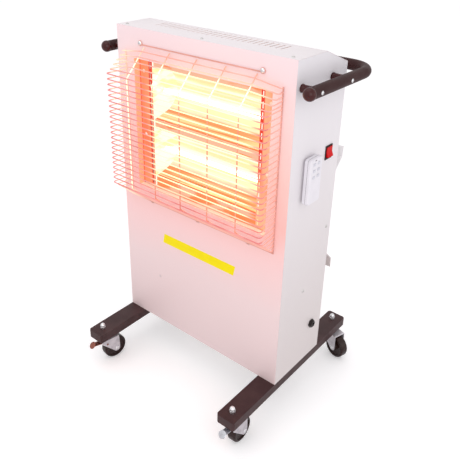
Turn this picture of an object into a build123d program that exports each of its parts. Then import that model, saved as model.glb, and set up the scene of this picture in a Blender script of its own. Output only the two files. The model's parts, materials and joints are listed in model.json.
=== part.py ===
from build123d import *
import os
from math import atan2, cos, degrees, hypot, pi, radians, sin, sqrt, tan

# Infrared cabinet heater: a sheet steel cabinet with two quartz lamps behind a wire guard,
# a tube handle round the back, a remote control on the right side, and four swivel castors.
# Millimetres. X is to the right, Y to the back, Z up from the floor. The origin lies on the
# floor, under the middle of the heater's bounding box.

# Cabinet
cabinet_width = 480.0
cabinet_depth = 185.0
cabinet_height = 758.0
sheet = 1.2
panel_gap = 0.2
roof_slope_depth = 84.0
roof_slope_drop = 34.0
rim_depth = 14.0
top_rim_depth = 22.0
flange_width = 14.0

# Legs and castors
castor_height = 79.0
leg_width = 48.0
leg_height = 23.0
leg_length = 480.0
leg_wall = 2.0
leg_front_overhang = 152.0
leg_cap_thickness = 5.0
leg_corner_cut = 4.0
castor_inset = 26.5
wheel_radius = 31.5
wheel_width = 22.0
castor_trail = 28.0
fork_half_width = 17.0
fork_sheet = 2.0
fork_roof_top = 70.0
axle_radius = 4.0
stud_radius = 4.0
race_radius = 18.0
kingpin_radius = 4.0
running_gap = 0.06
seat_gap = 0.05
body_gap = 0.3
castor_angles = {"front_left": 82.0, "front_right": 92.0, "rear_left": -25.0, "rear_right": -17.0}

# Brake pedals on the front castors, in the castor's own frame (the wheel trails towards +X)
pedal_pivot_x = 0.0
pedal_pivot_z = 58.0
pedal_pin_radius = 2.5
pedal_reach = 42.5
pedal_tab_z = 64.0
pedal_tab_radius = 9.5
pedal_tab_tilt = 45.0
pedal_arm_width = 15.0
pedal_sheet = 2.5
pedal_travel = 22.0

# Opening, reflectors and lamps (heights are above the cabinet's bottom edge)
opening_half_width = 189.0
opening_bottom = 378.0
opening_top = 690.0
opening_flange_depth = 17.0
reflector_half_width = 151.6
reflector_mouth_depth = 24.0
reflector_back_depth = 100.0
reflector_height = 124.0
reflector_sheet = 1.0
reflector_gap = 20.0
reflector_lip_depth = 22.0
lower_reflector_middle = 466.0
lamp_depth = 60.0
lamp_tube_radius = 5.0
lamp_tube_wall = 1.0
lamp_half_length = 168.0
ceramic_radius = 7.0
ceramic_length = 24.0
ceramic_overlap = 10.0

# Wire guard
wire = 2.6
wire_sides = 6
weld_gap = 0.05
guard_reach = 58.0
guard_half_width = 217.0
guard_frame_x = 213.0
guard_top = 722.0
guard_bottom = 347.0
guard_shoulder = 661.0
guard_heel = 397.0
guard_pitch = 264.0 / 21
guard_knee_x = 153.0
guard_corner_dip = 9.0
guard_corner_cut = 5.0
guard_uprights = 5
roof_wires = 5
heel_wires = 4
guard_screw_x = 165.0
guard_screw_z = 726.0
eyelet_radius = 6.4
eyelet_back = 0.4
eyelet_thickness = 1.8

# Handle
handle_radius = 12.0
handle_wall = 1.5
handle_half_width = 272.0
handle_height = 703.5
handle_rear = 240.0
handle_bend = 48.0
handle_front = -3.0
handle_fixings = [18.5, 128.5]

# Right side controls
switch_depth = 142.0
switch_height = 540.5
bezel_width = 26.0
bezel_height = 31.0
bezel_proud = 2.0
switch_body_width = 25.0
switch_body_height = 28.5
switch_body_length = 26.0
rocker_width = 21.0
rocker_half_angle = 9.0
remote_depth = 66.5
remote_height = 505.0
remote_width = 45.0
remote_length = 100.0
remote_thickness = 14.5
remote_standoff = 4.5
key_travel = 0.6
gland_depth = 141.0
gland_height = 95.0
gland_bore_radius = 4.2
gland_thread_radius = 8.0

# Screws. Small turned parts, and the holes they pass, are drawn with few sides.
screw_radius = 2.0
screw_head_radius = 4.0
screw_head_height = 2.2
screw_clearance = 0.5
screw_crown = 0.62
handle_screw_radius = 2.5
head_sides = 8
shank_sides = 6
hole_sides = 6
ring_sides = 12
disc_sides = 16

base_z = castor_height + leg_height
front_axis_reach = leg_front_overhang - castor_inset
front_extent = front_axis_reach + pedal_reach
rear_extent = leg_length - leg_front_overhang
front_y = (front_extent - rear_extent) / 2
side_inner = cabinet_width / 2 - sheet
inside_half = side_inner - panel_gap
back_inner = cabinet_depth - sheet
roof_angle = atan2(roof_slope_drop, roof_slope_depth)
roof_knee = cabinet_depth - roof_slope_depth
upper_reflector_middle = lower_reflector_middle + reflector_height + reflector_gap

os.makedirs("parts", exist_ok=True)


def front_plane(depth):
    """Plane parallel to the cabinet's front, facing forwards. Local x is X, local y is height."""
    return Plane(origin=(0, front_y + depth, base_z), x_dir=(1, 0, 0), z_dir=(0, -1, 0))


def side_plane(x):
    """Plane parallel to the cabinet's right side. Local x is depth, local y is height."""
    return Plane(origin=(x, front_y, base_z), x_dir=(0, 1, 0), z_dir=(1, 0, 0))


def level_plane(height):
    """Level plane at a height above the cabinet's bottom edge. Local y is depth."""
    return Plane(origin=(0, front_y, base_z + height), x_dir=(1, 0, 0), z_dir=(0, 0, 1))


def roof_point(depth, inset):
    """Height of the roof's line, moved inwards by inset, at a depth on its slope."""
    return cabinet_height - inset / cos(roof_angle) - (depth - roof_knee) * tan(roof_angle)


def roof_knee_depth(inset):
    """Depth of the roof's knee, on its line moved inwards by inset."""
    return roof_knee - inset * tan(roof_angle / 2)


def turned_body(plane, sides, runs):
    """A round body drawn with flat sides. Each run gives its first and last radius and its length."""
    with BuildPart() as body:
        reached = 0.0
        for start, end, length in runs:
            slant = degrees(atan2((start - end) * cos(pi / sides), length))
            with BuildSketch(plane.offset(reached)):
                RegularPolygon(start, sides)
            extrude(amount=length, taper=slant)
            reached += length
    return body.part


def domed_screw(plane, head_radius, head_height, shank_radius, shank_length):
    """A round-headed screw that stands on a plane, with its head on the plane's outer side."""
    with BuildPart() as screw:
        add(turned_body(plane, head_sides, [(head_radius, head_radius * screw_crown, head_height)]))
        with BuildSketch(plane):
            RegularPolygon(shank_radius, shank_sides)
        extrude(amount=-shank_length)
    return screw.part


# Cabinet panels

# The front is one plate with a rim folded back all round, and a flange folded into the opening.
rim_half_width = inside_half
rim_height = cabinet_height - 2 * (sheet + panel_gap)
opening_height = opening_top - opening_bottom
opening_middle = (opening_top + opening_bottom) / 2
tongue_xs = [-146.0, 0.0, 146.0]
receiver_x = -126.0
receiver_z = 138.0
receiver_radius = 3.2

with BuildPart() as front_panel:
    with BuildSketch(front_plane(0)):
        with Locations((0, cabinet_height / 2)):
            Rectangle(cabinet_width, cabinet_height)
    extrude(amount=-sheet)
    with BuildSketch(front_plane(0)):
        with Locations((0, cabinet_height / 2)):
            Rectangle(2 * rim_half_width, rim_height)
            Rectangle(2 * (rim_half_width - sheet), rim_height - 2 * sheet, mode=Mode.SUBTRACT)
    extrude(amount=-rim_depth)
    with BuildSketch(front_plane(0)):
        with Locations((0, cabinet_height - sheet - panel_gap)):
            Rectangle(2 * rim_half_width, sheet, align=(Align.CENTER, Align.MAX))
    extrude(amount=-top_rim_depth)
    with BuildSketch(front_plane(0)):
        with Locations((0, opening_middle)):
            Rectangle(2 * (opening_half_width + sheet), opening_height + 2 * sheet)
    extrude(amount=-opening_flange_depth)
    with BuildSketch(front_plane(0)):
        with Locations((0, opening_middle)):
            Rectangle(2 * opening_half_width, opening_height)
    extrude(amount=-opening_flange_depth, mode=Mode.SUBTRACT)
    with BuildSketch(front_plane(0)):
        with Locations((-guard_screw_x, guard_screw_z), (guard_screw_x, guard_screw_z)):
            RegularPolygon(screw_radius + screw_clearance, hole_sides)
        with Locations((receiver_x, receiver_z)):
            RegularPolygon(receiver_radius + seat_gap, ring_sides)
        with Locations(*[(x, guard_bottom - wire - weld_gap) for x in tongue_xs]):
            Rectangle(9, 4)
    extrude(amount=-sheet, mode=Mode.SUBTRACT)
    top_rim_holes = [(x, 14) for x in (-220, 0, 220)]
    with BuildSketch(level_plane(cabinet_height)):
        with Locations(*top_rim_holes):
            RegularPolygon(screw_radius + screw_clearance, hole_sides)
    extrude(amount=-3 * sheet, mode=Mode.SUBTRACT)
front_panel.part.label = "front_panel"
export_step(front_panel.part, "parts/front_panel.step")

# Each side is a flat plate under the roof sheet, with a flange folded in along its rear edge.
side_roof_inset = sheet + panel_gap / 2
side_front = sheet + panel_gap / 2


def side_outline():
    """Outline of a side plate in depth and height."""
    return [
        (side_front, 0),
        (cabinet_depth, 0),
        (cabinet_depth, roof_point(cabinet_depth, side_roof_inset)),
        (roof_knee_depth(side_roof_inset), cabinet_height - side_roof_inset),
        (side_front, cabinet_height - side_roof_inset),
    ]


rear_screw_x = 231.0
rear_screw_heights = [60.0, 380.0, 680.0]
flange_bottom = 20.0
flange_top = cabinet_height - roof_slope_drop - 24.0
side_screws = [(90.0, 215.0), (167.0, 351.0)]

with BuildPart() as left_side_panel:
    with BuildSketch(side_plane(-cabinet_width / 2)):
        Polygon(*side_outline(), align=None)
    extrude(amount=sheet)
    with BuildSketch(level_plane(flange_bottom)):
        with Locations((-cabinet_width / 2, back_inner - panel_gap)):
            Rectangle(flange_width, sheet, align=(Align.MIN, Align.MAX))
    extrude(amount=flange_top - flange_bottom)
    with BuildSketch(front_plane(back_inner)):
        with Locations(*[(-rear_screw_x, z) for z in rear_screw_heights]):
            RegularPolygon(screw_radius + screw_clearance, hole_sides)
    extrude(amount=3 * sheet, mode=Mode.SUBTRACT)
    with BuildSketch(side_plane(-cabinet_width / 2)):
        with Locations(*[(y, handle_height) for y in handle_fixings]):
            RegularPolygon(handle_screw_radius + screw_clearance, hole_sides)
        with Locations(*side_screws):
            RegularPolygon(screw_radius + screw_clearance, hole_sides)
    extrude(amount=sheet, mode=Mode.SUBTRACT)
left_side_panel.part.label = "left_side_panel"
export_step(left_side_panel.part, "parts/left_side_panel.step")

with BuildPart() as right_side_panel:
    with BuildSketch(side_plane(cabinet_width / 2)):
        Polygon(*side_outline(), align=None)
    extrude(amount=-sheet)
    with BuildSketch(level_plane(flange_bottom)):
        with Locations((cabinet_width / 2, back_inner - panel_gap)):
            Rectangle(flange_width, sheet, align=(Align.MAX, Align.MAX))
    extrude(amount=flange_top - flange_bottom)
    with BuildSketch(front_plane(back_inner)):
        with Locations(*[(rear_screw_x, z) for z in rear_screw_heights]):
            RegularPolygon(screw_radius + screw_clearance, hole_sides)
    extrude(amount=3 * sheet, mode=Mode.SUBTRACT)
    with BuildSketch(side_plane(cabinet_width / 2)):
        with Locations(*[(y, handle_height) for y in handle_fixings]):
            RegularPolygon(handle_screw_radius + screw_clearance, hole_sides)
        with Locations(*side_screws):
            RegularPolygon(screw_radius + screw_clearance, hole_sides)
        with Locations((switch_depth, switch_height)):
            Rectangle(switch_body_width + 2 * seat_gap, switch_body_height + 2 * seat_gap)
        with Locations((gland_depth, gland_height)):
            RegularPolygon(gland_thread_radius + seat_gap, ring_sides, major_radius=False)
    extrude(amount=-sheet, mode=Mode.SUBTRACT)
right_side_panel.part.label = "right_side_panel"
export_step(right_side_panel.part, "parts/right_side_panel.step")

# The roof is one folded sheet: level at the front, sloping down to the back, with vent slots.
vent_count = 26
vent_pitch = 13.4
vent_width = 3.4
vent_length = 36.0
vent_depth = 69.0

with BuildPart() as top_panel:
    with BuildSketch(side_plane(-cabinet_width / 2)):
        Polygon(
            (side_front, cabinet_height),
            (roof_knee, cabinet_height),
            (cabinet_depth, roof_point(cabinet_depth, 0)),
            (cabinet_depth, roof_point(cabinet_depth, sheet)),
            (roof_knee_depth(sheet), cabinet_height - sheet),
            (side_front, cabinet_height - sheet),
            align=None,
        )
    extrude(amount=cabinet_width)
    with BuildSketch(level_plane(cabinet_height)):
        with Locations((0, vent_depth)):
            with GridLocations(vent_pitch, 0, vent_count, 1):
                Rectangle(vent_width, vent_length)
        with Locations(*top_rim_holes):
            RegularPolygon(screw_radius + screw_clearance, hole_sides)
    extrude(amount=-sheet, mode=Mode.SUBTRACT)
top_panel.part.label = "top_panel"
export_step(top_panel.part, "parts/top_panel.step")

# The back is a flat plate between the sides, with two fields of vent slots.
back_bottom = sheet + panel_gap
back_top = roof_point(cabinet_depth, sheet) - panel_gap
back_vents = [(0, 640.0), (0, 90.0)]
back_screws = [(sign * rear_screw_x, z) for sign in (-1, 1) for z in rear_screw_heights]
hook_x = 222.0
hook_width = 28.0
hook_sheet = 2.0
upper_hook_foot = (441.0, 475.0)
lower_hook_foot = (270.0, 304.0)
hook_screws = [(hook_x - 8, 453.0), (hook_x - 8, 292.0)]

with BuildPart() as back_panel:
    with BuildSketch(front_plane(back_inner)):
        Polygon(
            (-inside_half, back_bottom),
            (inside_half, back_bottom),
            (inside_half, back_top),
            (-inside_half, back_top),
            align=None,
        )
        with Locations(*back_vents):
            with GridLocations(110, 18, 3, 2):
                Rectangle(96, 6, mode=Mode.SUBTRACT)
        with Locations(*back_screws):
            RegularPolygon(screw_radius + screw_clearance, hole_sides, mode=Mode.SUBTRACT)
        with Locations(*hook_screws):
            RegularPolygon(screw_radius + screw_clearance, hole_sides, mode=Mode.SUBTRACT)
    extrude(amount=-sheet)
back_panel.part.label = "back_panel"
export_step(back_panel.part, "parts/back_panel.step")

# The base pan closes the bottom and carries the legs.
leg_x = cabinet_width / 2 - leg_width / 2
leg_bolt_depths = [32.0, 150.0]
leg_bolts = [(sign * leg_x, y) for sign in (-1, 1) for y in leg_bolt_depths]
leg_bolt_radius = 3.0
pan_front = sheet + panel_gap / 2
pan_back = back_inner - panel_gap

with BuildPart() as base_pan:
    with BuildSketch(level_plane(0)):
        Polygon(
            (-inside_half, pan_front),
            (inside_half, pan_front),
            (inside_half, cabinet_depth),
            (-inside_half, cabinet_depth),
            align=None,
        )
        with Locations(*leg_bolts):
            RegularPolygon(leg_bolt_radius + screw_clearance, hole_sides, mode=Mode.SUBTRACT)
        with Locations((0, 95)):
            with GridLocations(60, 24, 3, 2):
                Rectangle(44, 6, mode=Mode.SUBTRACT)
    extrude(amount=sheet)
    with BuildSketch(level_plane(sheet)):
        with Locations((0, pan_back)):
            Rectangle(2 * inside_half - 4, sheet, align=(Align.CENTER, Align.MAX))
    extrude(amount=flange_width)
base_pan.part.label = "base_pan"
export_step(base_pan.part, "parts/base_pan.step")

# Reflectors: a trough with sloping lips, rounded at the back, and a flat flange along each lip


def trough_outline(middle, inset, mouth):
    """Closed outline of a trough in depth and height, moved inwards by inset."""
    half = reflector_height / 2 - inset
    back = reflector_back_depth - inset
    elbow_depth = reflector_mouth_depth + 42.0
    elbow_half = half - 12.0
    with BuildLine() as outline:
        Polyline((elbow_depth, middle + elbow_half), (mouth, middle + half),
                 (mouth, middle - half), (elbow_depth, middle - elbow_half))
        ThreePointArc((elbow_depth, middle - elbow_half), (back, middle), (elbow_depth, middle + elbow_half))
    return outline.line


def build_reflector(middle, lip_bottom, lip_top, slots):
    """A trough reflector with its front lips; slots gives the rows of vent slots in its lower wall."""
    with BuildPart() as trough:
        with BuildSketch(side_plane(-reflector_half_width)):
            make_face(trough_outline(middle, 0, reflector_mouth_depth).edges())
            with Locations((reflector_mouth_depth, lip_bottom)):
                Rectangle(reflector_sheet, lip_top - lip_bottom, align=(Align.MIN, Align.MIN))
            make_face(trough_outline(middle, reflector_sheet, reflector_mouth_depth).edges(), mode=Mode.SUBTRACT)
        extrude(amount=2 * reflector_half_width)
        if slots:
            with BuildSketch(level_plane(middle)):
                with Locations((-44, 42), (-44, 54)):
                    with GridLocations(9, 0, 10, 1):
                        Rectangle(4, 8)
            extrude(amount=-reflector_height, mode=Mode.SUBTRACT)
    return trough.part


divider_middle = (lower_reflector_middle + upper_reflector_middle) / 2
lip_clearance = 0.3
with BuildPart() as reflector_upper:
    add(build_reflector(upper_reflector_middle, divider_middle + panel_gap / 2, opening_top - lip_clearance, False))
reflector_upper.part.label = "reflector_upper"
export_step(reflector_upper.part, "parts/reflector_upper.step")

with BuildPart() as reflector_lower:
    add(build_reflector(lower_reflector_middle, opening_bottom + lip_clearance, divider_middle - panel_gap / 2, True))
reflector_lower.part.label = "reflector_lower"
export_step(reflector_lower.part, "parts/reflector_lower.step")

# End plates: a wall that closes the troughs' ends, folded outwards into a flange behind the opening
end_flange_depth = opening_flange_depth
end_flange_edge = opening_half_width + sheet
end_wall_inner = reflector_half_width + panel_gap
end_wall_bottom = opening_bottom + 3.0
end_wall_top = opening_top - 3.0
end_slot_count = 14
end_slot_pitch = 21.6
lamp_heights = [lower_reflector_middle, upper_reflector_middle]


def build_end_plate(sign):
    """The end plate on the side given by sign: -1 is left, 1 is right."""
    with BuildPart() as plate:
        with BuildSketch(side_plane(sign * end_wall_inner)):
            with Locations((end_flange_depth, end_wall_bottom)):
                Rectangle(reflector_back_depth + 6 - end_flange_depth, end_wall_top - end_wall_bottom,
                          align=(Align.MIN, Align.MIN))
            with Locations(*[(lamp_depth, z) for z in lamp_heights]):
                RegularPolygon(lamp_tube_radius + 1.5, ring_sides, mode=Mode.SUBTRACT)
        extrude(amount=sign * sheet)
        with BuildSketch(front_plane(end_flange_depth)):
            with Locations((sign * (end_wall_inner + end_flange_edge) / 2, opening_middle)):
                Rectangle(end_flange_edge - end_wall_inner, end_wall_top - end_wall_bottom)
            with Locations((sign * (end_wall_inner + 4.4), opening_middle)):
                with GridLocations(0, end_slot_pitch, 1, end_slot_count):
                    Rectangle(3.6, 14.0, mode=Mode.SUBTRACT)
            with Locations((sign * 176.0, 509.0), (sign * 176.0, 660.0)):
                RegularPolygon(screw_radius + screw_clearance, hole_sides, mode=Mode.SUBTRACT)
        extrude(amount=-sheet)
    return plate.part


with BuildPart() as end_plate_left:
    add(build_end_plate(-1))
end_plate_left.part.label = "end_plate_left"
export_step(end_plate_left.part, "parts/end_plate_left.step")

with BuildPart() as end_plate_right:
    add(build_end_plate(1))
end_plate_right.part.label = "end_plate_right"
export_step(end_plate_right.part, "parts/end_plate_right.step")

# Lamps: a quartz tube through both end plates, its ends seated in ceramic caps held by clips


def build_lamp_tube(height):
    """A quartz tube along X, open inside."""
    with BuildPart() as tube:
        with BuildSketch(side_plane(-lamp_half_length)):
            with Locations((lamp_depth, height)):
                Circle(lamp_tube_radius)
                Circle(lamp_tube_radius - lamp_tube_wall, mode=Mode.SUBTRACT)
        extrude(amount=2 * lamp_half_length)
    return tube.part


with BuildPart() as lamp_tube_upper:
    add(build_lamp_tube(upper_reflector_middle))
lamp_tube_upper.part.label = "lamp_tube_upper"
export_step(lamp_tube_upper.part, "parts/lamp_tube_upper.step")

with BuildPart() as lamp_tube_lower:
    add(build_lamp_tube(lower_reflector_middle))
lamp_tube_lower.part.label = "lamp_tube_lower"
export_step(lamp_tube_lower.part, "parts/lamp_tube_lower.step")

ceramic_inner_x = lamp_half_length - ceramic_overlap
filament_half_length = lamp_half_length - 0.2
filament_radius = 1.2

with BuildPart() as lamp_filaments:
    with BuildSketch(side_plane(-filament_half_length)):
        with Locations(*[(lamp_depth, z) for z in lamp_heights]):
            RegularPolygon(filament_radius, shank_sides)
    extrude(amount=2 * filament_half_length)
lamp_filaments.part.label = "lamp_filaments"
export_step(lamp_filaments.part, "parts/lamp_filaments.step")

with BuildPart() as lamp_end_caps:
    for sign in (-1, 1):
        with BuildSketch(side_plane(sign * ceramic_inner_x)):
            with Locations(*[(lamp_depth, z) for z in lamp_heights]):
                RegularPolygon(ceramic_radius, head_sides)
        extrude(amount=sign * ceramic_length)
        with BuildSketch(side_plane(sign * ceramic_inner_x)):
            with Locations(*[(lamp_depth, z) for z in lamp_heights]):
                RegularPolygon(lamp_tube_radius + seat_gap, head_sides, major_radius=False)
        extrude(amount=sign * (ceramic_overlap + seat_gap), mode=Mode.SUBTRACT)
lamp_end_caps.part.label = "lamp_end_caps"
export_step(lamp_end_caps.part, "parts/lamp_end_caps.step")

clip_start_x = ceramic_inner_x + 4.0
clip_width = 8.0
clip_band = 1.0
end_wall_outer = end_wall_inner + sheet
clip_foot_depth = lamp_depth + 22.0

with BuildPart() as lamp_clips:
    for sign in (-1, 1):
        with BuildSketch(side_plane(sign * clip_start_x)):
            for z in lamp_heights:
                with Locations((lamp_depth, z)):
                    RegularPolygon(ceramic_radius + seat_gap + clip_band, head_sides)
                with Locations((lamp_depth + ceramic_radius, z)):
                    Rectangle(clip_foot_depth - lamp_depth - ceramic_radius, 5.0,
                              align=(Align.MIN, Align.CENTER))
                with Locations((lamp_depth, z)):
                    RegularPolygon(ceramic_radius + seat_gap, head_sides, mode=Mode.SUBTRACT)
        extrude(amount=sign * clip_width)
        with BuildSketch(side_plane(sign * (end_wall_outer + seat_gap))):
            with Locations(*[(clip_foot_depth, z) for z in lamp_heights]):
                Rectangle(6.0, 14.0, align=(Align.MAX, Align.CENTER))
        extrude(amount=sign * (clip_start_x + clip_width - end_wall_outer - seat_gap))
lamp_clips.part.label = "lamp_clips"
export_step(lamp_clips.part, "parts/lamp_clips.step")

# Wire guard: every wire is one length of round rod. The horizontal wires lie on the uprights
# and end on the side frame wires. They are welded where they touch.


def mitred_rod(points, radius, sides):
    """A rod of that radius along straight runs, mitred at each corner."""
    run = [Vector(*p) for p in points]
    with BuildPart() as rod:
        with BuildLine() as route:
            Polyline(*run)
        with BuildSketch(Plane(origin=run[0], z_dir=run[1] - run[0])):
            RegularPolygon(radius, sides)
        sweep(path=route.line, transition=Transition.RIGHT)
    return rod.part


def at(x, forward, height):
    """Point given by X, distance in front of the cabinet's face and height on the cabinet."""
    return (x, front_y - forward, base_z + height)


def toward(start, end, distance):
    """Point at a distance from start on the way to end."""
    reach = sqrt(sum((b - a) ** 2 for a, b in zip(start, end)))
    return tuple(a + (b - a) * distance / reach for a, b in zip(start, end))


wire_seat = wire / 2 + weld_gap
frame_front = wire + 2 * weld_gap


def hoop(corner_reach, corner_height, knee_reach, knee_height):
    """Points of one horizontal wire: back at the frame, round the corner, and along the front."""
    frame_end = at(guard_frame_x, frame_front, corner_height)
    corner = at(guard_half_width, corner_reach, corner_height)
    knee = at(guard_knee_x, knee_reach, knee_height)
    cut = min(guard_corner_cut, (corner_reach - frame_front) * 0.6)
    half = [frame_end, toward(corner, frame_end, cut), toward(corner, knee, cut)]
    if knee_reach != corner_reach or knee_height != corner_height:
        half.append(knee)
    mirrored = [(-x, y, z) for x, y, z in reversed(half)]
    return half + mirrored


guard_wires = []
roof_rise = guard_top - guard_shoulder
for number in range(1, roof_wires + 1):
    share = number / (roof_wires + 1)
    knee_reach = wire_seat + share * (guard_reach - wire_seat)
    knee_height = guard_top - share * roof_rise
    dip = guard_corner_dip * (1 - share) + 1.0
    corner_reach = knee_reach - 1.4 * (1 - share)
    guard_wires.append(hoop(corner_reach, knee_height - dip, knee_reach, knee_height))
front_rows = round((guard_shoulder - guard_heel) / guard_pitch) + 1
for number in range(front_rows):
    height = guard_shoulder - number * guard_pitch
    guard_wires.append(hoop(guard_reach, height, guard_reach, height))
for number in range(1, heel_wires + 1):
    share = number / (heel_wires + 1)
    reach = guard_reach - share * (guard_reach - wire_seat)
    height = guard_heel - share * (guard_heel - guard_bottom)
    guard_wires.append(hoop(reach, height, reach, height))

eyelet_x = guard_screw_x - eyelet_radius + 0.5
guard_wires.append([at(-eyelet_x, wire_seat, guard_top + 1.5), at(eyelet_x, wire_seat, guard_top + 1.5)])
guard_wires.append([at(-guard_half_width + wire, wire_seat, guard_bottom),
                    at(guard_half_width - wire, wire_seat, guard_bottom)])
frame_top = guard_top - roof_rise / (roof_wires + 1) - guard_corner_dip + 1.5
for sign in (-1, 1):
    guard_wires.append([at(sign * guard_frame_x, wire_seat, guard_bottom + wire + weld_gap),
                        at(sign * guard_frame_x, wire_seat, frame_top)])

# The uprights run behind the horizontal wires, parallel to them.
behind = wire + weld_gap
roof_tilt = atan2(roof_rise, guard_reach - wire_seat)
heel_tilt = atan2(guard_heel - guard_bottom, guard_reach - wire_seat)
upright_reach = guard_reach - behind
upright_shoulder = guard_top - (upright_reach - wire_seat) * tan(roof_tilt) - behind / cos(roof_tilt)
upright_heel = guard_bottom + (upright_reach - wire_seat) * tan(heel_tilt) + behind / cos(heel_tilt)
upright_span = 2 * guard_knee_x
for number in range(guard_uprights):
    x = -guard_knee_x + number * upright_span / (guard_uprights - 1)
    guard_wires.append([
        at(x, wire_seat, guard_top - behind / cos(roof_tilt)),
        at(x, upright_reach, upright_shoulder),
        at(x, upright_reach, upright_heel),
        at(x, wire_seat, guard_bottom + behind / cos(heel_tilt)),
    ])

tongue_length = 9.0
for x in tongue_xs:
    guard_wires.append([at(x, wire_seat, guard_bottom - behind),
                        at(x, wire_seat - tongue_length, guard_bottom - behind)])

with BuildPart() as wire_guard:
    add([mitred_rod(points, wire / 2, wire_sides) for points in guard_wires])
    with BuildSketch(front_plane(-eyelet_back)):
        with Locations((-guard_screw_x, guard_screw_z), (guard_screw_x, guard_screw_z)):
            RegularPolygon(eyelet_radius, ring_sides)
            RegularPolygon(screw_radius + screw_clearance, hole_sides, mode=Mode.SUBTRACT)
    extrude(amount=eyelet_thickness)
wire_guard.part.label = "wire_guard"
export_step(wire_guard.part, "parts/wire_guard.step")

guard_screw_seat = -(eyelet_back + eyelet_thickness + seat_gap)
guard_screw_head = 5.5
with BuildPart() as guard_screws:
    for sign in (-1, 1):
        seat = front_plane(guard_screw_seat).location * Location((sign * guard_screw_x, guard_screw_z, 0))
        add(domed_screw(Plane(seat), guard_screw_head, 3.4, screw_radius, 10.0))
guard_screws.part.label = "guard_screws"
export_step(guard_screws.part, "parts/guard_screws.step")

# Handle: a bent tube round the back of the cabinet, held off the sides on four feet. Its bore
# is drawn with flat sides and mitred round the bends.
handle_arm_rear = handle_rear - handle_bend
handle_bend_x = handle_half_width - handle_bend
handle_bore_radius = handle_radius - handle_wall
bore_sides = 12
bend_steps = 5


def handle_bar(radius):
    """A round solid bar along the handle's whole path: two arms, two bends and the rear run."""
    with BuildPart() as bar:
        with BuildSketch(front_plane(handle_front)):
            with Locations((-handle_half_width, handle_height), (handle_half_width, handle_height)):
                Circle(radius)
        extrude(amount=handle_front - handle_arm_rear)
        with BuildSketch(side_plane(-handle_bend_x)):
            with Locations((handle_rear, handle_height)):
                Circle(radius)
        extrude(amount=2 * handle_bend_x)
        for sign in (-1, 1):
            with BuildSketch(front_plane(handle_arm_rear)):
                with Locations((sign * handle_half_width, handle_height)):
                    Circle(radius)
            bend_axis = Axis((sign * handle_bend_x, front_y + handle_arm_rear, base_z), (0, 0, sign))
            revolve(axis=bend_axis, revolution_arc=90)
    return bar.part


handle_half = [(handle_half_width, handle_front)]
for step in range(bend_steps + 1):
    turn = step / bend_steps * pi / 2
    handle_half.append((handle_bend_x + handle_bend * cos(turn), handle_arm_rear + handle_bend * sin(turn)))
handle_route = [at(x, -depth, handle_height) for x, depth in handle_half]
handle_route += [at(-x, -depth, handle_height) for x, depth in reversed(handle_half)]

with BuildPart() as handle_tube:
    add(handle_bar(handle_radius))
    add(mitred_rod(handle_route, handle_bore_radius, bore_sides), mode=Mode.SUBTRACT)
    for sign in (-1, 1):
        with BuildSketch(side_plane(sign * (handle_half_width + handle_radius))):
            with Locations(*[(y, handle_height) for y in handle_fixings]):
                RegularPolygon(handle_screw_radius + screw_clearance, hole_sides)
        extrude(amount=-sign * 2 * handle_radius, mode=Mode.SUBTRACT)
handle_tube.part.label = "handle_tube"
export_step(handle_tube.part, "parts/handle_tube.step")

plug_length = 12.0
plug_radius = handle_bore_radius * cos(pi / bore_sides) - seat_gap
cap_radius = 13.0
cap_runs = [(cap_radius, cap_radius, 4.0), (cap_radius, 10.0, 6.0), (10.0, 4.0, 4.0)]
with BuildPart() as handle_end_caps:
    for sign in (-1, 1):
        cap_seat = front_plane(handle_front).from_local_coords((sign * handle_half_width, handle_height, 0))
        add(turned_body(Plane(origin=cap_seat, x_dir=(1, 0, 0), z_dir=(0, -1, 0)), disc_sides, cap_runs))
        with BuildSketch(front_plane(handle_front)):
            with Locations((sign * handle_half_width, handle_height)):
                RegularPolygon(plug_radius, bore_sides)
        extrude(amount=-plug_length)
handle_end_caps.part.label = "handle_end_caps"
export_step(handle_end_caps.part, "parts/handle_end_caps.step")

foot_radius = 8.5
with BuildPart() as handle_spacers:
    for sign in (-1, 1):
        with BuildSketch(side_plane(sign * cabinet_width / 2)):
            with Locations(*[(y, handle_height) for y in handle_fixings]):
                RegularPolygon(foot_radius, ring_sides)
                RegularPolygon(handle_screw_radius + screw_clearance, hole_sides, mode=Mode.SUBTRACT)
        extrude(amount=sign * (handle_half_width - cabinet_width / 2))
    add(handle_bar(handle_radius + seat_gap), mode=Mode.SUBTRACT)
handle_spacers.part.label = "handle_spacers"
export_step(handle_spacers.part, "parts/handle_spacers.step")

nut_radius = 4.6
nut_height = 3.2
screw_end = 1.5
handle_screw_seat = handle_half_width + handle_radius + seat_gap
handle_screw_length = handle_screw_seat - side_inner + nut_height + screw_end
with BuildPart() as handle_screws:
    for sign in (-1, 1):
        seat = side_plane(sign * handle_screw_seat)
        for y in handle_fixings:
            head_plane = Plane(origin=seat.from_local_coords((y, handle_height, 0)), z_dir=(sign, 0, 0))
            add(domed_screw(head_plane, screw_head_radius, screw_head_height, handle_screw_radius,
                            handle_screw_length))
        with BuildSketch(side_plane(sign * (side_inner - seat_gap))):
            with Locations(*[(y, handle_height) for y in handle_fixings]):
                RegularPolygon(nut_radius, shank_sides, rotation=30)
        extrude(amount=-sign * nut_height)
handle_screws.part.label = "handle_screws"
export_step(handle_screws.part, "parts/handle_screws.step")

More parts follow.
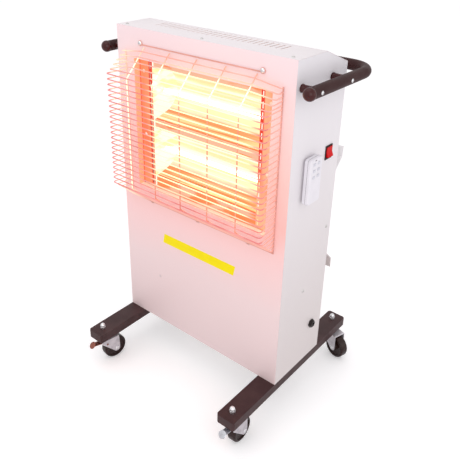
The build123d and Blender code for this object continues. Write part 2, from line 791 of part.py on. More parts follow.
# Rocker switch: a housing clipped into the right side, with the rocker on two short pins
switch_face = side_plane(cabinet_width / 2)
rocker_pivot_inset = 4.0
rocker_pin_radius = 1.5
rocker_pin_length = 1.2
rocker_tip_out = 9.5
rocker_tip_up = 11.2
rocker_valley = 7.0
rocker_foot_in = 4.0
rocker_foot_up = 8.0
rocker_reach = hypot(rocker_tip_out, rocker_tip_up)
rocker_tip_angle = atan2(rocker_tip_up, rocker_tip_out)
pocket_half_height = rocker_reach * sin(rocker_tip_angle + radians(rocker_half_angle)) + body_gap
pocket_half_width = rocker_width / 2 + body_gap
pocket_floor = rocker_pivot_inset + hypot(rocker_foot_in, rocker_foot_up)
rocker_pivot = side_plane(0).from_local_coords(
    (switch_depth, switch_height, cabinet_width / 2 - rocker_pivot_inset))

with BuildPart() as switch_housing:
    with BuildSketch(switch_face):
        with Locations((switch_depth, switch_height)):
            Rectangle(bezel_width, bezel_height)
    extrude(amount=bezel_proud)
    with BuildSketch(switch_face):
        with Locations((switch_depth, switch_height)):
            Rectangle(switch_body_width, switch_body_height)
    extrude(amount=-switch_body_length)
    with BuildSketch(side_plane(cabinet_width / 2 + bezel_proud)):
        with Locations((switch_depth, switch_height)):
            Rectangle(2 * pocket_half_width, 2 * pocket_half_height)
    extrude(amount=-bezel_proud - pocket_floor, mode=Mode.SUBTRACT)
    with BuildSketch(Plane(origin=rocker_pivot, x_dir=(1, 0, 0), z_dir=(0, 1, 0))):
        RegularPolygon(rocker_pin_radius + running_gap, hole_sides, major_radius=False)
    extrude(amount=rocker_width / 2 + rocker_pin_length + body_gap, both=True, mode=Mode.SUBTRACT)
    with BuildSketch(side_plane(cabinet_width / 2 - switch_body_length)):
        with Locations((switch_depth, switch_height)):
            with GridLocations(12, 9, 2, 2):
                Rectangle(0.8, 6.3)
    extrude(amount=-9)
switch_housing.part.label = "switch_housing"
export_step(switch_housing.part, "parts/switch_housing.step")

# The rocker's two faces meet in a shallow valley. At rest its upper half is pressed in.
with BuildPart() as rocker:
    with BuildSketch(Plane(origin=rocker_pivot, x_dir=(cos(radians(rocker_half_angle)), 0,
                                                       sin(radians(rocker_half_angle))),
                           z_dir=(0, -1, 0))):
        Polygon((-rocker_foot_in, -rocker_foot_up), (rocker_tip_out, -rocker_tip_up), (rocker_valley, 0),
                (rocker_tip_out, rocker_tip_up), (-rocker_foot_in, rocker_foot_up), align=None)
    extrude(amount=rocker_width / 2, both=True)
    with BuildSketch(Plane(origin=rocker_pivot, x_dir=(1, 0, 0), z_dir=(0, 1, 0))):
        Circle(rocker_pin_radius)
    extrude(amount=rocker_width / 2 + rocker_pin_length, both=True)
rocker.part.label = "rocker"
export_step(rocker.part, "parts/rocker.step")

# Remote control: it hangs on a T-shaped tongue and lifts off upwards
cradle_plate = 3.5
cradle_half_width = 16.0
cradle_half_height = 42.0
tongue_stem_half = 4.0
tongue_head_half = 8.0
tongue_head_thickness = 2.0
tongue_stem_length = 2.6
tongue_low = remote_height - 24.0
tongue_high = remote_height + 8.0
remote_back_x = cabinet_width / 2 + remote_standoff
tongue_head_x = cabinet_width / 2 + cradle_plate + tongue_stem_length
remote_bottom = remote_height - remote_length / 2
slot_gap = 0.35

with BuildPart() as remote_cradle:
    with BuildSketch(side_plane(cabinet_width / 2)):
        with Locations((remote_depth, remote_height)):
            RectangleRounded(2 * cradle_half_width, 2 * cradle_half_height, 5)
    extrude(amount=cradle_plate)
    with BuildSketch(side_plane(cabinet_width / 2)):
        with Locations((remote_depth, (tongue_low + tongue_high) / 2)):
            Rectangle(2 * tongue_stem_half, tongue_high - tongue_low)
    extrude(amount=cradle_plate + tongue_stem_length)
    with BuildSketch(side_plane(tongue_head_x)):
        with Locations((remote_depth, (tongue_low + tongue_high) / 2)):
            Rectangle(2 * tongue_head_half, tongue_high - tongue_low)
    extrude(amount=tongue_head_thickness)
remote_cradle.part.label = "remote_cradle"
export_step(remote_cradle.part, "parts/remote_cradle.step")

key_columns = [remote_depth - 8.0, remote_depth + 8.0]
key_rows = [remote_height + 38.0, remote_height + 24.0, remote_height + 10.0]
key_places = [(y, z) for z in key_rows for y in key_columns]
key_width = 8.0
key_height = 5.5
key_proud = 0.8
key_sunk = 1.2
remote_face_x = remote_back_x + remote_thickness
door_width = 34.0
door_height = 30.0
door_thickness = 1.4
door_middle = remote_height + 29.0

with BuildPart() as remote_case:
    with BuildSketch(side_plane(remote_back_x)):
        with Locations((remote_depth, remote_height)):
            RectangleRounded(remote_width, remote_length, 7)
    extrude(amount=remote_thickness)
    chamfer(remote_case.faces().sort_by(Axis.X)[-1].edges(), length=2.0)
    with BuildSketch(side_plane(remote_back_x)):
        with Locations((remote_depth, remote_bottom)):
            Rectangle(2 * (tongue_stem_half + slot_gap), tongue_high + slot_gap - remote_bottom,
                      align=(Align.CENTER, Align.MIN))
    extrude(amount=tongue_head_x + tongue_head_thickness + slot_gap - remote_back_x, mode=Mode.SUBTRACT)
    with BuildSketch(side_plane(tongue_head_x - slot_gap)):
        with Locations((remote_depth, remote_bottom)):
            Rectangle(2 * (tongue_head_half + slot_gap), tongue_high + slot_gap - remote_bottom,
                      align=(Align.CENTER, Align.MIN))
    extrude(amount=tongue_head_thickness + 2 * slot_gap, mode=Mode.SUBTRACT)
    with BuildSketch(side_plane(remote_face_x)):
        with Locations(*key_places):
            Rectangle(key_width + 2 * body_gap, key_height + 2 * body_gap)
    extrude(amount=-key_sunk - key_travel - body_gap, mode=Mode.SUBTRACT)
    with BuildSketch(side_plane(remote_back_x)):
        with Locations((remote_depth, door_middle)):
            Rectangle(door_width + 2 * seat_gap, door_height + 2 * seat_gap)
    extrude(amount=door_thickness + seat_gap, mode=Mode.SUBTRACT)
remote_case.part.label = "remote_case"
export_step(remote_case.part, "parts/remote_case.step")

with BuildPart() as remote_battery_door:
    with BuildSketch(side_plane(remote_back_x)):
        with Locations((remote_depth, door_middle)):
            Rectangle(door_width, door_height)
            with Locations((0, door_height / 2 - 3)):
                Rectangle(10, 1.5, mode=Mode.SUBTRACT)
    extrude(amount=door_thickness)
remote_battery_door.part.label = "remote_battery_door"
export_step(remote_battery_door.part, "parts/remote_battery_door.step")

for number, place in enumerate(key_places, start=1):
    with BuildPart() as remote_key:
        with BuildSketch(side_plane(remote_face_x - key_sunk)):
            with Locations(place):
                Rectangle(key_width, key_height)
        extrude(amount=key_sunk + key_proud)
        chamfer(remote_key.faces().sort_by(Axis.X)[-1].edges(), length=0.4)
    remote_key.part.label = f"remote_key_{number}"
    export_step(remote_key.part, f"parts/remote_key_{number}.step")

# Cable gland low on the right side, with its locknut inside
gland_face = side_plane(cabinet_width / 2)
gland_hex_radius = 11.0
gland_base = 4.0
gland_protrusion = 8.0
gland_nut_thickness = 5.0

with BuildPart() as cable_gland:
    with BuildSketch(gland_face):
        with Locations((gland_depth, gland_height)):
            RegularPolygon(gland_hex_radius, 6)
    extrude(amount=gland_base)
    with BuildSketch(gland_face):
        with Locations((gland_depth, gland_height)):
            RegularPolygon(gland_hex_radius - 1.6, 6)
    extrude(amount=gland_protrusion)
    chamfer(cable_gland.faces().sort_by(Axis.X)[-1].edges(), length=1.2)
    with BuildSketch(gland_face):
        with Locations((gland_depth, gland_height)):
            Circle(gland_thread_radius)
    extrude(amount=-sheet - gland_nut_thickness - 4.0)
    with BuildSketch(side_plane(cabinet_width / 2 + gland_protrusion)):
        with Locations((gland_depth, gland_height)):
            Circle(gland_bore_radius)
    extrude(amount=-gland_protrusion - sheet - gland_nut_thickness - 4.0, mode=Mode.SUBTRACT)
cable_gland.part.label = "cable_gland"
export_step(cable_gland.part, "parts/cable_gland.step")

with BuildPart() as gland_locknut:
    with BuildSketch(side_plane(side_inner - seat_gap)):
        with Locations((gland_depth, gland_height)):
            RegularPolygon(gland_hex_radius, 6)
            Circle(gland_thread_radius + seat_gap, mode=Mode.SUBTRACT)
    extrude(amount=-gland_nut_thickness)
gland_locknut.part.label = "gland_locknut"
export_step(gland_locknut.part, "parts/gland_locknut.step")

# Hooks on the back for winding up the cable: the upper one turns up, the lower one turns down
hook_reach = 30.0
hook_rise = 30.0
hook_lip = 24.0
hook_lean = 1.0


def hook_profile(foot_end, foot_start, direction):
    """Outline of one bent hook in depth and height; direction is 1 for up and -1 for down."""
    back = cabinet_depth
    knee = (back + hook_sheet, foot_end)
    elbow = (back + hook_reach, foot_end + direction * hook_rise)
    tip = (back + hook_reach + hook_lean, foot_end + direction * (hook_rise + hook_lip))
    return [
        (back, foot_start),
        (back + hook_sheet, foot_start),
        (knee[0], knee[1] - direction * hook_sheet),
        (elbow[0] + hook_sheet, elbow[1] - direction * hook_sheet),
        (tip[0] + hook_sheet, tip[1]),
        tip,
        (elbow[0], elbow[1]),
        (back, foot_end),
    ]


with BuildPart() as cord_hooks:
    with BuildSketch(side_plane(hook_x - hook_width / 2)):
        Polygon(*hook_profile(upper_hook_foot[1], upper_hook_foot[0], 1), align=None)
        Polygon(*hook_profile(lower_hook_foot[0], lower_hook_foot[1], -1), align=None)
    extrude(amount=hook_width)
    with BuildSketch(front_plane(cabinet_depth)):
        with Locations(*hook_screws):
            RegularPolygon(screw_radius + screw_clearance, hole_sides)
    extrude(amount=-hook_sheet, mode=Mode.SUBTRACT)
cord_hooks.part.label = "cord_hooks"
export_step(cord_hooks.part, "parts/cord_hooks.step")

# Small round-headed screws: three in the roof, two in each side, six in the back, two in the
# hooks, two in each end plate, all alike
panel_screw_length = 6.0
roof_seats = [Plane(origin=level_plane(cabinet_height + seat_gap).from_local_coords((x, y, 0)), z_dir=(0, 0, 1))
              for x, y in top_rim_holes]
side_seats = [Plane(origin=side_plane(sign * (cabinet_width / 2 + seat_gap)).from_local_coords((y, z, 0)),
                    z_dir=(sign, 0, 0)) for sign in (-1, 1) for y, z in side_screws]
back_seats = [Plane(origin=front_plane(cabinet_depth + seat_gap).from_local_coords((x, z, 0)), z_dir=(0, 1, 0))
              for x, z in back_screws]
hook_seats = [Plane(origin=front_plane(cabinet_depth + hook_sheet + seat_gap).from_local_coords((x, z, 0)),
                    z_dir=(0, 1, 0)) for x, z in hook_screws]
plate_seats = [Plane(origin=front_plane(end_flange_depth - seat_gap).from_local_coords((sign * 176.0, z, 0)),
                     z_dir=(0, -1, 0)) for sign in (-1, 1) for z in (509.0, 660.0)]

with BuildPart() as panel_screws:
    for seat in roof_seats + side_seats + back_seats + hook_seats + plate_seats:
        add(domed_screw(seat, screw_head_radius, screw_head_height, screw_radius, panel_screw_length))
panel_screws.part.label = "panel_screws"
export_step(panel_screws.part, "parts/panel_screws.step")

# Receiver window for the remote control, low on the front
with BuildPart() as receiver_window:
    with BuildSketch(front_plane(0)):
        with Locations((receiver_x, receiver_z)):
            RegularPolygon(receiver_radius, ring_sides)
    extrude(amount=-6.0)
    with BuildSketch(front_plane(0)):
        with Locations((receiver_x, receiver_z)):
            RegularPolygon(receiver_radius + 0.8, ring_sides)
    extrude(amount=0.8)
    with BuildSketch(front_plane(sheet + seat_gap)):
        with Locations((receiver_x, receiver_z)):
            Rectangle(12, 10)
    extrude(amount=-4.0)
receiver_window.part.label = "receiver_window"
export_step(receiver_window.part, "parts/receiver_window.step")

# Electrical parts inside
board_x = 120.0
board_z = 240.0
board_thickness = 1.6
board_standoff = 8.0
board_depth = back_inner - board_standoff - seat_gap
relay_places = [(board_x - 24, board_z + 16), (board_x + 4, board_z + 16)]

with BuildPart() as control_board:
    with BuildSketch(front_plane(board_depth)):
        with Locations((board_x, board_z)):
            Rectangle(90, 70)
    extrude(amount=board_thickness)
    with BuildSketch(front_plane(board_depth)):
        with Locations((board_x, board_z)):
            with GridLocations(80, 60, 2, 2):
                RegularPolygon(3.0, shank_sides)
    extrude(amount=-board_standoff)
    with BuildSketch(front_plane(board_depth - board_thickness)):
        with Locations(*relay_places):
            Rectangle(20, 26)
    extrude(amount=16)
    with BuildSketch(front_plane(board_depth - board_thickness)):
        with Locations((board_x + 32, board_z + 12)):
            RegularPolygon(6.5, hole_sides)
        with Locations((board_x - 8, board_z - 22)):
            Rectangle(52, 12)
    extrude(amount=12)
control_board.part.label = "control_board"
export_step(control_board.part, "parts/control_board.step")

with BuildPart() as terminal_block:
    with BuildSketch(level_plane(sheet)):
        with Locations((150, 120)):
            Rectangle(56, 24)
    extrude(amount=7)
    with BuildSketch(level_plane(sheet)):
        with Locations((150, 120)):
            with GridLocations(18, 0, 3, 1):
                Rectangle(14, 20)
    extrude(amount=17)
    with BuildSketch(level_plane(sheet + 17)):
        with Locations((150, 120)):
            with GridLocations(18, 11, 3, 2):
                RegularPolygon(2.6, hole_sides)
    extrude(amount=-6, mode=Mode.SUBTRACT)
terminal_block.part.label = "terminal_block"
export_step(terminal_block.part, "parts/terminal_block.step")

with BuildPart() as tip_over_switch:
    with BuildSketch(level_plane(sheet)):
        with Locations((150, 60)):
            Rectangle(44, 20)
            with GridLocations(36, 0, 2, 1):
                RegularPolygon(1.8, hole_sides, mode=Mode.SUBTRACT)
    extrude(amount=2.5)
    with BuildSketch(level_plane(sheet)):
        with Locations((150, 60)):
            Rectangle(26, 18)
    extrude(amount=24)
    with BuildSketch(level_plane(sheet + 24)):
        with Locations((150, 60)):
            with GridLocations(14, 0, 2, 1):
                Rectangle(6.3, 0.8)
    extrude(amount=8)
tip_over_switch.part.label = "tip_over_switch"
export_step(tip_over_switch.part, "parts/tip_over_switch.step")

# Legs: box section under each side of the cabinet, closed by a cap at each end
leg_front = -leg_front_overhang
leg_middle = leg_front + leg_length / 2
castor_depths = {"front": leg_front + castor_inset, "rear": leg_front + leg_length - castor_inset}


def build_leg(x):
    """A box-section leg centred on x."""
    with BuildPart() as leg:
        with BuildSketch(front_plane(leg_front + leg_cap_thickness)):
            with Locations((x, -leg_height / 2)):
                Rectangle(leg_width, leg_height)
                Rectangle(leg_width - 2 * leg_wall, leg_height - 2 * leg_wall, mode=Mode.SUBTRACT)
        extrude(amount=-leg_length + 2 * leg_cap_thickness)
        with BuildSketch(level_plane(0)):
            with Locations(*[(x, depth) for depth in castor_depths.values()]):
                RegularPolygon(stud_radius + screw_clearance, hole_sides)
        extrude(amount=-leg_height, mode=Mode.SUBTRACT)
        with BuildSketch(level_plane(0)):
            with Locations(*[(x, depth) for depth in leg_bolt_depths]):
                RegularPolygon(leg_bolt_radius + screw_clearance, hole_sides)
        extrude(amount=-leg_wall, mode=Mode.SUBTRACT)
    return leg.part


with BuildPart() as leg_left:
    add(build_leg(-leg_x))
leg_left.part.label = "leg_left"
export_step(leg_left.part, "parts/leg_left.step")

with BuildPart() as leg_right:
    add(build_leg(leg_x))
leg_right.part.label = "leg_right"
export_step(leg_right.part, "parts/leg_right.step")

cap_tail = 8.0
with BuildPart() as leg_end_caps:
    for sign in (-1, 1):
        for outer, inward in ((leg_front, 1), (leg_front + leg_length, -1)):
            half = leg_width / 2
            with BuildSketch(level_plane(0)):
                with Locations((sign * leg_x, outer)):
                    Polygon(
                        (-half + leg_corner_cut, 0),
                        (half - leg_corner_cut, 0),
                        (half, inward * leg_corner_cut),
                        (half, inward * leg_cap_thickness),
                        (-half, inward * leg_cap_thickness),
                        (-half, inward * leg_corner_cut),
                        align=None,
                    )
            extrude(amount=-leg_height)
            with BuildSketch(front_plane(outer + inward * leg_cap_thickness)):
                with Locations((sign * leg_x, -leg_height / 2)):
                    Rectangle(leg_width - 2 * leg_wall - 2 * panel_gap, leg_height - 2 * leg_wall - 2 * panel_gap)
            extrude(amount=-inward * cap_tail)
leg_end_caps.part.label = "leg_end_caps"
export_step(leg_end_caps.part, "parts/leg_end_caps.step")

bolt_head_radius = 5.8
bolt_head_height = 4.0
bolt_nut_height = 5.0
with BuildPart() as leg_screws:
    with BuildSketch(level_plane(sheet + seat_gap)):
        with Locations(*leg_bolts):
            RegularPolygon(bolt_head_radius, 6)
    extrude(amount=bolt_head_height)
    with BuildSketch(level_plane(sheet + seat_gap)):
        with Locations(*leg_bolts):
            RegularPolygon(leg_bolt_radius, shank_sides)
    extrude(amount=-sheet - leg_wall - bolt_nut_height - 2.0)
    with BuildSketch(level_plane(-leg_wall - seat_gap)):
        with Locations(*leg_bolts):
            RegularPolygon(bolt_head_radius, 6)
    extrude(amount=-bolt_nut_height)
leg_screws.part.label = "leg_screws"
export_step(leg_screws.part, "parts/leg_screws.step")

# Castors. Each stud stands in a leg with its race under it and its kingpin through the fork.
castor_places = {
    f"{end}_{side}": (sign * leg_x, front_y + castor_depths[end])
    for end in ("front", "rear") for side, sign in (("left", -1), ("right", 1))
}
fork_roof = fork_sheet
cup_height = 3.0
race_bottom = fork_roof_top + cup_height + body_gap
kingpin_head_radius = 7.0
kingpin_head_height = 2.2
stud_top = castor_height + leg_height
nut_hex_radius = 7.6
nut_collar = 6.5
dome_runs = [(6.2, 6.2, 4.5), (6.2, 2.6, 4.0)]

with BuildPart() as castor_studs:
    for x, y in castor_places.values():
        with BuildSketch(Plane.XY.offset(race_bottom)):
            with Locations((x, y)):
                RegularPolygon(race_radius, disc_sides)
        extrude(amount=castor_height - race_bottom)
        with BuildSketch(Plane.XY.offset(castor_height)):
            with Locations((x, y)):
                RegularPolygon(stud_radius, hole_sides)
        extrude(amount=leg_height + nut_collar)
        with BuildSketch(Plane.XY.offset(race_bottom)):
            with Locations((x, y)):
                Circle(kingpin_radius)
        extrude(amount=fork_roof_top - fork_roof - body_gap - race_bottom)
        with BuildSketch(Plane.XY.offset(fork_roof_top - fork_roof - body_gap)):
            with Locations((x, y)):
                RegularPolygon(kingpin_head_radius, head_sides)
        extrude(amount=-kingpin_head_height)
castor_studs.part.label = "castor_studs"
export_step(castor_studs.part, "parts/castor_studs.step")

with BuildPart() as dome_nuts:
    for x, y in castor_places.values():
        with BuildSketch(Plane.XY.offset(stud_top)):
            with Locations((x, y)):
                RegularPolygon(nut_hex_radius, 6)
        extrude(amount=nut_collar)
        add(turned_body(Plane(origin=(x, y, stud_top + nut_collar)), head_sides, dome_runs))
        with BuildSketch(Plane.XY.offset(stud_top)):
            with Locations((x, y)):
                RegularPolygon(stud_radius + seat_gap, hole_sides)
        extrude(amount=nut_collar + seat_gap, mode=Mode.SUBTRACT)
dome_nuts.part.label = "dome_nuts"
export_step(dome_nuts.part, "parts/dome_nuts.step")

# The castor's moving pieces are drawn once about the swivel axis, the wheel trailing towards +X.
side_view = Plane(origin=(0, 0, 0), x_dir=(1, 0, 0), z_dir=(0, -1, 0))
fork_inner = fork_half_width - fork_sheet
fork_tip_radius = 9.0
fork_front_x = -15.0
fork_rear_x = 36.0

fork_tip = [(castor_trail + fork_tip_radius * cos(radians(angle)),
             wheel_radius + fork_tip_radius * sin(radians(angle))) for angle in (217, 253, 289, 325, 360)]

with BuildPart() as fork:
    with BuildSketch(side_view):
        Polygon((fork_front_x, fork_roof_top), (fork_front_x, fork_roof_top - 6), *fork_tip,
                (fork_rear_x, fork_roof_top), align=None)
    extrude(amount=fork_half_width, both=True)
    with BuildSketch(side_view):
        Rectangle(200, 2 * (fork_roof_top - fork_roof))
    extrude(amount=fork_inner, both=True, mode=Mode.SUBTRACT)
    with BuildSketch(Plane.XY.offset(fork_roof_top)):
        RegularPolygon(race_radius - 2.0, disc_sides)
    extrude(amount=cup_height)
    with BuildSketch(Plane.XY.offset(fork_roof_top + cup_height)):
        RegularPolygon(kingpin_radius + running_gap, hole_sides, major_radius=False)
    extrude(amount=-cup_height - fork_roof, mode=Mode.SUBTRACT)
    with BuildSketch(side_view):
        with Locations((castor_trail, wheel_radius)):
            RegularPolygon(axle_radius + seat_gap, hole_sides, major_radius=False)
    extrude(amount=fork_half_width, both=True, mode=Mode.SUBTRACT)

with BuildPart() as brake_fork:
    add(fork.part)
    with BuildSketch(side_view):
        with Locations((pedal_pivot_x, pedal_pivot_z)):
            RegularPolygon(pedal_pin_radius + running_gap, hole_sides, major_radius=False)
    extrude(amount=fork_half_width, both=True, mode=Mode.SUBTRACT)

axle_head_radius = 5.6
axle_head_height = 2.0
with BuildPart() as axle:
    with BuildSketch(side_view):
        with Locations((castor_trail, wheel_radius)):
            Circle(axle_radius)
    extrude(amount=fork_half_width + seat_gap, both=True)
    for sign in (-1, 1):
        with BuildSketch(side_view.offset(sign * (fork_half_width + seat_gap))):
            with Locations((castor_trail, wheel_radius)):
                RegularPolygon(axle_head_radius, head_sides)
        extrude(amount=sign * axle_head_height)

hub_half_width = fork_inner - body_gap
hub_radius = 9.5
with BuildPart() as wheel:
    with BuildSketch(Plane.XZ):
        Circle(wheel_radius)
    extrude(amount=wheel_width / 2, both=True)
    with BuildSketch(Plane.XZ):
        RegularPolygon(hub_radius, ring_sides)
    extrude(amount=hub_half_width, both=True)
    with BuildSketch(Plane.XZ):
        Circle(axle_radius + running_gap)
    extrude(amount=hub_half_width, both=True, mode=Mode.SUBTRACT)
wheel_seat = Location((castor_trail, 0, wheel_radius))

# Brake pedal: a round tab on an arm that is pinned through the fork in front of the wheel, with a
# cam that comes down on the tread
to_hub_x = castor_trail - pedal_pivot_x
to_hub_z = wheel_radius - pedal_pivot_z
hub_angle = atan2(to_hub_z, to_hub_x)
cam_angle = hub_angle - radians(pedal_travel)
cam_reach = hypot(to_hub_x, to_hub_z) - wheel_radius - body_gap
cam_nose = 2.0
boss_radius = 4.2
tab_tilt = radians(pedal_tab_tilt)
pedal_tab_x = pedal_tab_radius * cos(tab_tilt) + pedal_sheet / 2 * sin(tab_tilt) - pedal_reach
arm_angle = atan2(pedal_tab_z - pedal_pivot_z, pedal_tab_x - pedal_pivot_x)
arm_length = hypot(pedal_tab_x - pedal_pivot_x, pedal_tab_z - pedal_pivot_z)

with BuildPart() as brake_pedal:
    with BuildSketch(side_view):
        with Locations((pedal_pivot_x, pedal_pivot_z)):
            RegularPolygon(boss_radius, hole_sides)
        with Locations((pedal_pivot_x + (cam_reach - cam_nose) * cos(cam_angle),
                        pedal_pivot_z + (cam_reach - cam_nose) * sin(cam_angle))):
            RegularPolygon(cam_nose, shank_sides)
        make_hull()
    extrude(amount=pedal_arm_width / 2, both=True)
    with BuildSketch(side_view):
        with Locations((pedal_pivot_x, pedal_pivot_z)):
            Circle(pedal_pin_radius)
    extrude(amount=fork_half_width + 1.0, both=True)
    arm_plane = Plane(origin=(pedal_pivot_x, 0, pedal_pivot_z), x_dir=(cos(arm_angle), 0, sin(arm_angle)),
                      z_dir=(-sin(arm_angle), 0, cos(arm_angle)))
    with BuildSketch(arm_plane):
        with Locations((arm_length / 2, 0)):
            Rectangle(arm_length, pedal_arm_width)
    extrude(amount=pedal_sheet / 2, both=True)
    with BuildSketch(Plane(origin=(pedal_tab_x, 0, pedal_tab_z), x_dir=(cos(tab_tilt), 0, sin(tab_tilt)),
                           z_dir=(-sin(tab_tilt), 0, cos(tab_tilt)))):
        RegularPolygon(pedal_tab_radius, ring_sides)
    extrude(amount=pedal_sheet / 2, both=True)

for name, (x, y) in castor_places.items():
    corner = Location((x, y, 0), (0, 0, castor_angles[name]))
    is_front = name.startswith("front")
    placed_fork = (brake_fork if is_front else fork).part.moved(corner)
    placed_fork.label = f"fork_{name}"
    export_step(placed_fork, f"parts/fork_{name}.step")
    placed_axle = axle.part.moved(corner)
    placed_axle.label = f"axle_{name}"
    export_step(placed_axle, f"parts/axle_{name}.step")
    placed_wheel = wheel.part.moved(corner * wheel_seat)
    placed_wheel.label = f"wheel_{name}"
    export_step(placed_wheel, f"parts/wheel_{name}.step")
    if is_front:
        placed_pedal = brake_pedal.part.moved(corner)
        placed_pedal.label = f"brake_pedal_{name}"
        export_step(placed_pedal, f"parts/brake_pedal_{name}.step")
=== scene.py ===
import bmesh
import bpy
import json
import logging
import math
from collections.abc import Callable
from dataclasses import dataclass
from enum import Enum
from mathutils import Matrix, Vector

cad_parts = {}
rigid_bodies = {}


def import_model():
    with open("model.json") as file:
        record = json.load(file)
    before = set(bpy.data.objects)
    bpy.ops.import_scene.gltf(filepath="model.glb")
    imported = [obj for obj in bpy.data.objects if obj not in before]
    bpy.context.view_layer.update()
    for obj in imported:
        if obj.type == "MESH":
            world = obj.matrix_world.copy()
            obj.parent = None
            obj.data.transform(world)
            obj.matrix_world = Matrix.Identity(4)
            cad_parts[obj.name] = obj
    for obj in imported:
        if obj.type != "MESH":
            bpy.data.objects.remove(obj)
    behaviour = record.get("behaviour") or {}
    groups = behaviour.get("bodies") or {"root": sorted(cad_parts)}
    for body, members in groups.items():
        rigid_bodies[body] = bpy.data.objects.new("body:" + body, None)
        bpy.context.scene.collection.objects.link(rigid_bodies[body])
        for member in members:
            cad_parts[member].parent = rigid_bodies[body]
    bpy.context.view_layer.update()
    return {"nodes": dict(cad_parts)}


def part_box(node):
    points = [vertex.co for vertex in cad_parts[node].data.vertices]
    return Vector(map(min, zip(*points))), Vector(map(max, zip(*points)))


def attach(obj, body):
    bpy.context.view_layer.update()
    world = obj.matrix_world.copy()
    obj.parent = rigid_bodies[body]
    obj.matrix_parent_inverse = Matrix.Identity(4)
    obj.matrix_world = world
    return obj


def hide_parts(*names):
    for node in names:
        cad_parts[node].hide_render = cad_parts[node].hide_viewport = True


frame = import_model()
log = logging.getLogger("heater")

MM = 0.001
FACE = -80.0  # the cabinet's front face on Y
FOOT = 102.0  # the cabinet's bottom edge on Z
CLEAR = 0.05  # how far a piece stands off the face that carries it
WELD = 1e-6  # points of a mesh that are closer than this in metres become one
LONGEST_BEND = 0.48  # share of a straight run that one bend may take up

Mesh = bmesh.types.BMesh
Pair = tuple[float, float]
Triple = tuple[float, float, float]
Quad = tuple[float, float, float, float]
Outline = list[Pair]
Points = list[Vector]
Socket = bpy.types.NodeSocket
Tint = Quad


class Side(Enum):
    """A side of the heater, with its direction along X."""

    LEFT = -1
    RIGHT = 1

    def seat(self, x: float, depth: float, height: float) -> Matrix:
        """Place on this side of the cabinet whose Z axis points outwards."""
        return facing(at(self.value * x, depth, height), Vector((self.value, 0, 0)))


class Corner(Enum):
    """A castor's corner, with the angle in degrees that the castor is turned to."""

    FRONT_LEFT = 82.0
    FRONT_RIGHT = 92.0
    REAR_LEFT = -25.0
    REAR_RIGHT = -17.0


def at(x: float, depth: float, height: float) -> Vector:
    """Point in metres from millimetres: across, behind the front face and above the cabinet's bottom edge."""
    return Vector((x, FACE + depth, FOOT + height)) * MM


def facing(place: Vector, direction: Vector) -> Matrix:
    """Place whose Z axis points along a direction."""
    return Matrix.Translation(place) @ direction.to_track_quat("Z", "Y").to_matrix().to_4x4()


def ahead(x: float, depth: float, height: float) -> Matrix:
    """Place on the cabinet whose Z axis points forwards."""
    return facing(at(x, depth, height), Vector((0, -1, 0)))


def tint(red: int, green: int, blue: int) -> Tint:
    """Linear colour from the way it shows on a screen.

    Args:
        red: red part, 0 to 255.
        green: green part, 0 to 255.
        blue: blue part, 0 to 255.

    Returns:
        The linear colour with full opacity.
    """
    shares = [part / 255 for part in (red, green, blue)]
    linear = [share / 12.92 if share <= 0.04045 else ((share + 0.055) / 1.055) ** 2.4 for share in shares]
    return (linear[0], linear[1], linear[2], 1.0)


# the troughs and end plates glow by painted emission; this dark colour is most of what is left of their own colour
EMBER_BASE: Tint = (0.02, 0.01, 0.01, 1)  # what most of a glowing sheet's own colour gives way to


# Finishes


class Graph:
    """A node tree that is made a step at a time. A value is a socket, a colour or a number."""

    def __init__(self, tree: bpy.types.NodeTree) -> None:
        """Start on a tree."""
        self.tree = tree

    def join(self, source: object, target: Socket) -> None:
        """Link a socket into target, or set target to a plain value.

        Args:
            source: the socket or the value.
            target: the input that takes it.
        """
        if isinstance(source, bpy.types.NodeSocket):
            self.tree.links.new(source, target)
        else:
            target.default_value = source

    def node(self, kind: str, inputs: dict[int | str, object], output: int | str = 0, **settings: object) -> Socket:
        """Add a node and fill its inputs.

        Args:
            kind: the node's type name without its first words.
            inputs: values by input.
            output: the output that is wanted.
            settings: the node's properties by name.

        Returns:
            The output's socket.
        """
        made = self.tree.nodes.new(f"ShaderNode{kind}")
        for key, setting in settings.items():
            setattr(made, key, setting)
        for key, value in inputs.items():
            self.join(value, made.inputs[key])
        return made.outputs[output]

    def sum(self, operation: str, *values: object) -> Socket:
        """Arithmetic on some values, by the math node's name for it."""
        return self.node("Math", dict(enumerate(values)), operation=operation)


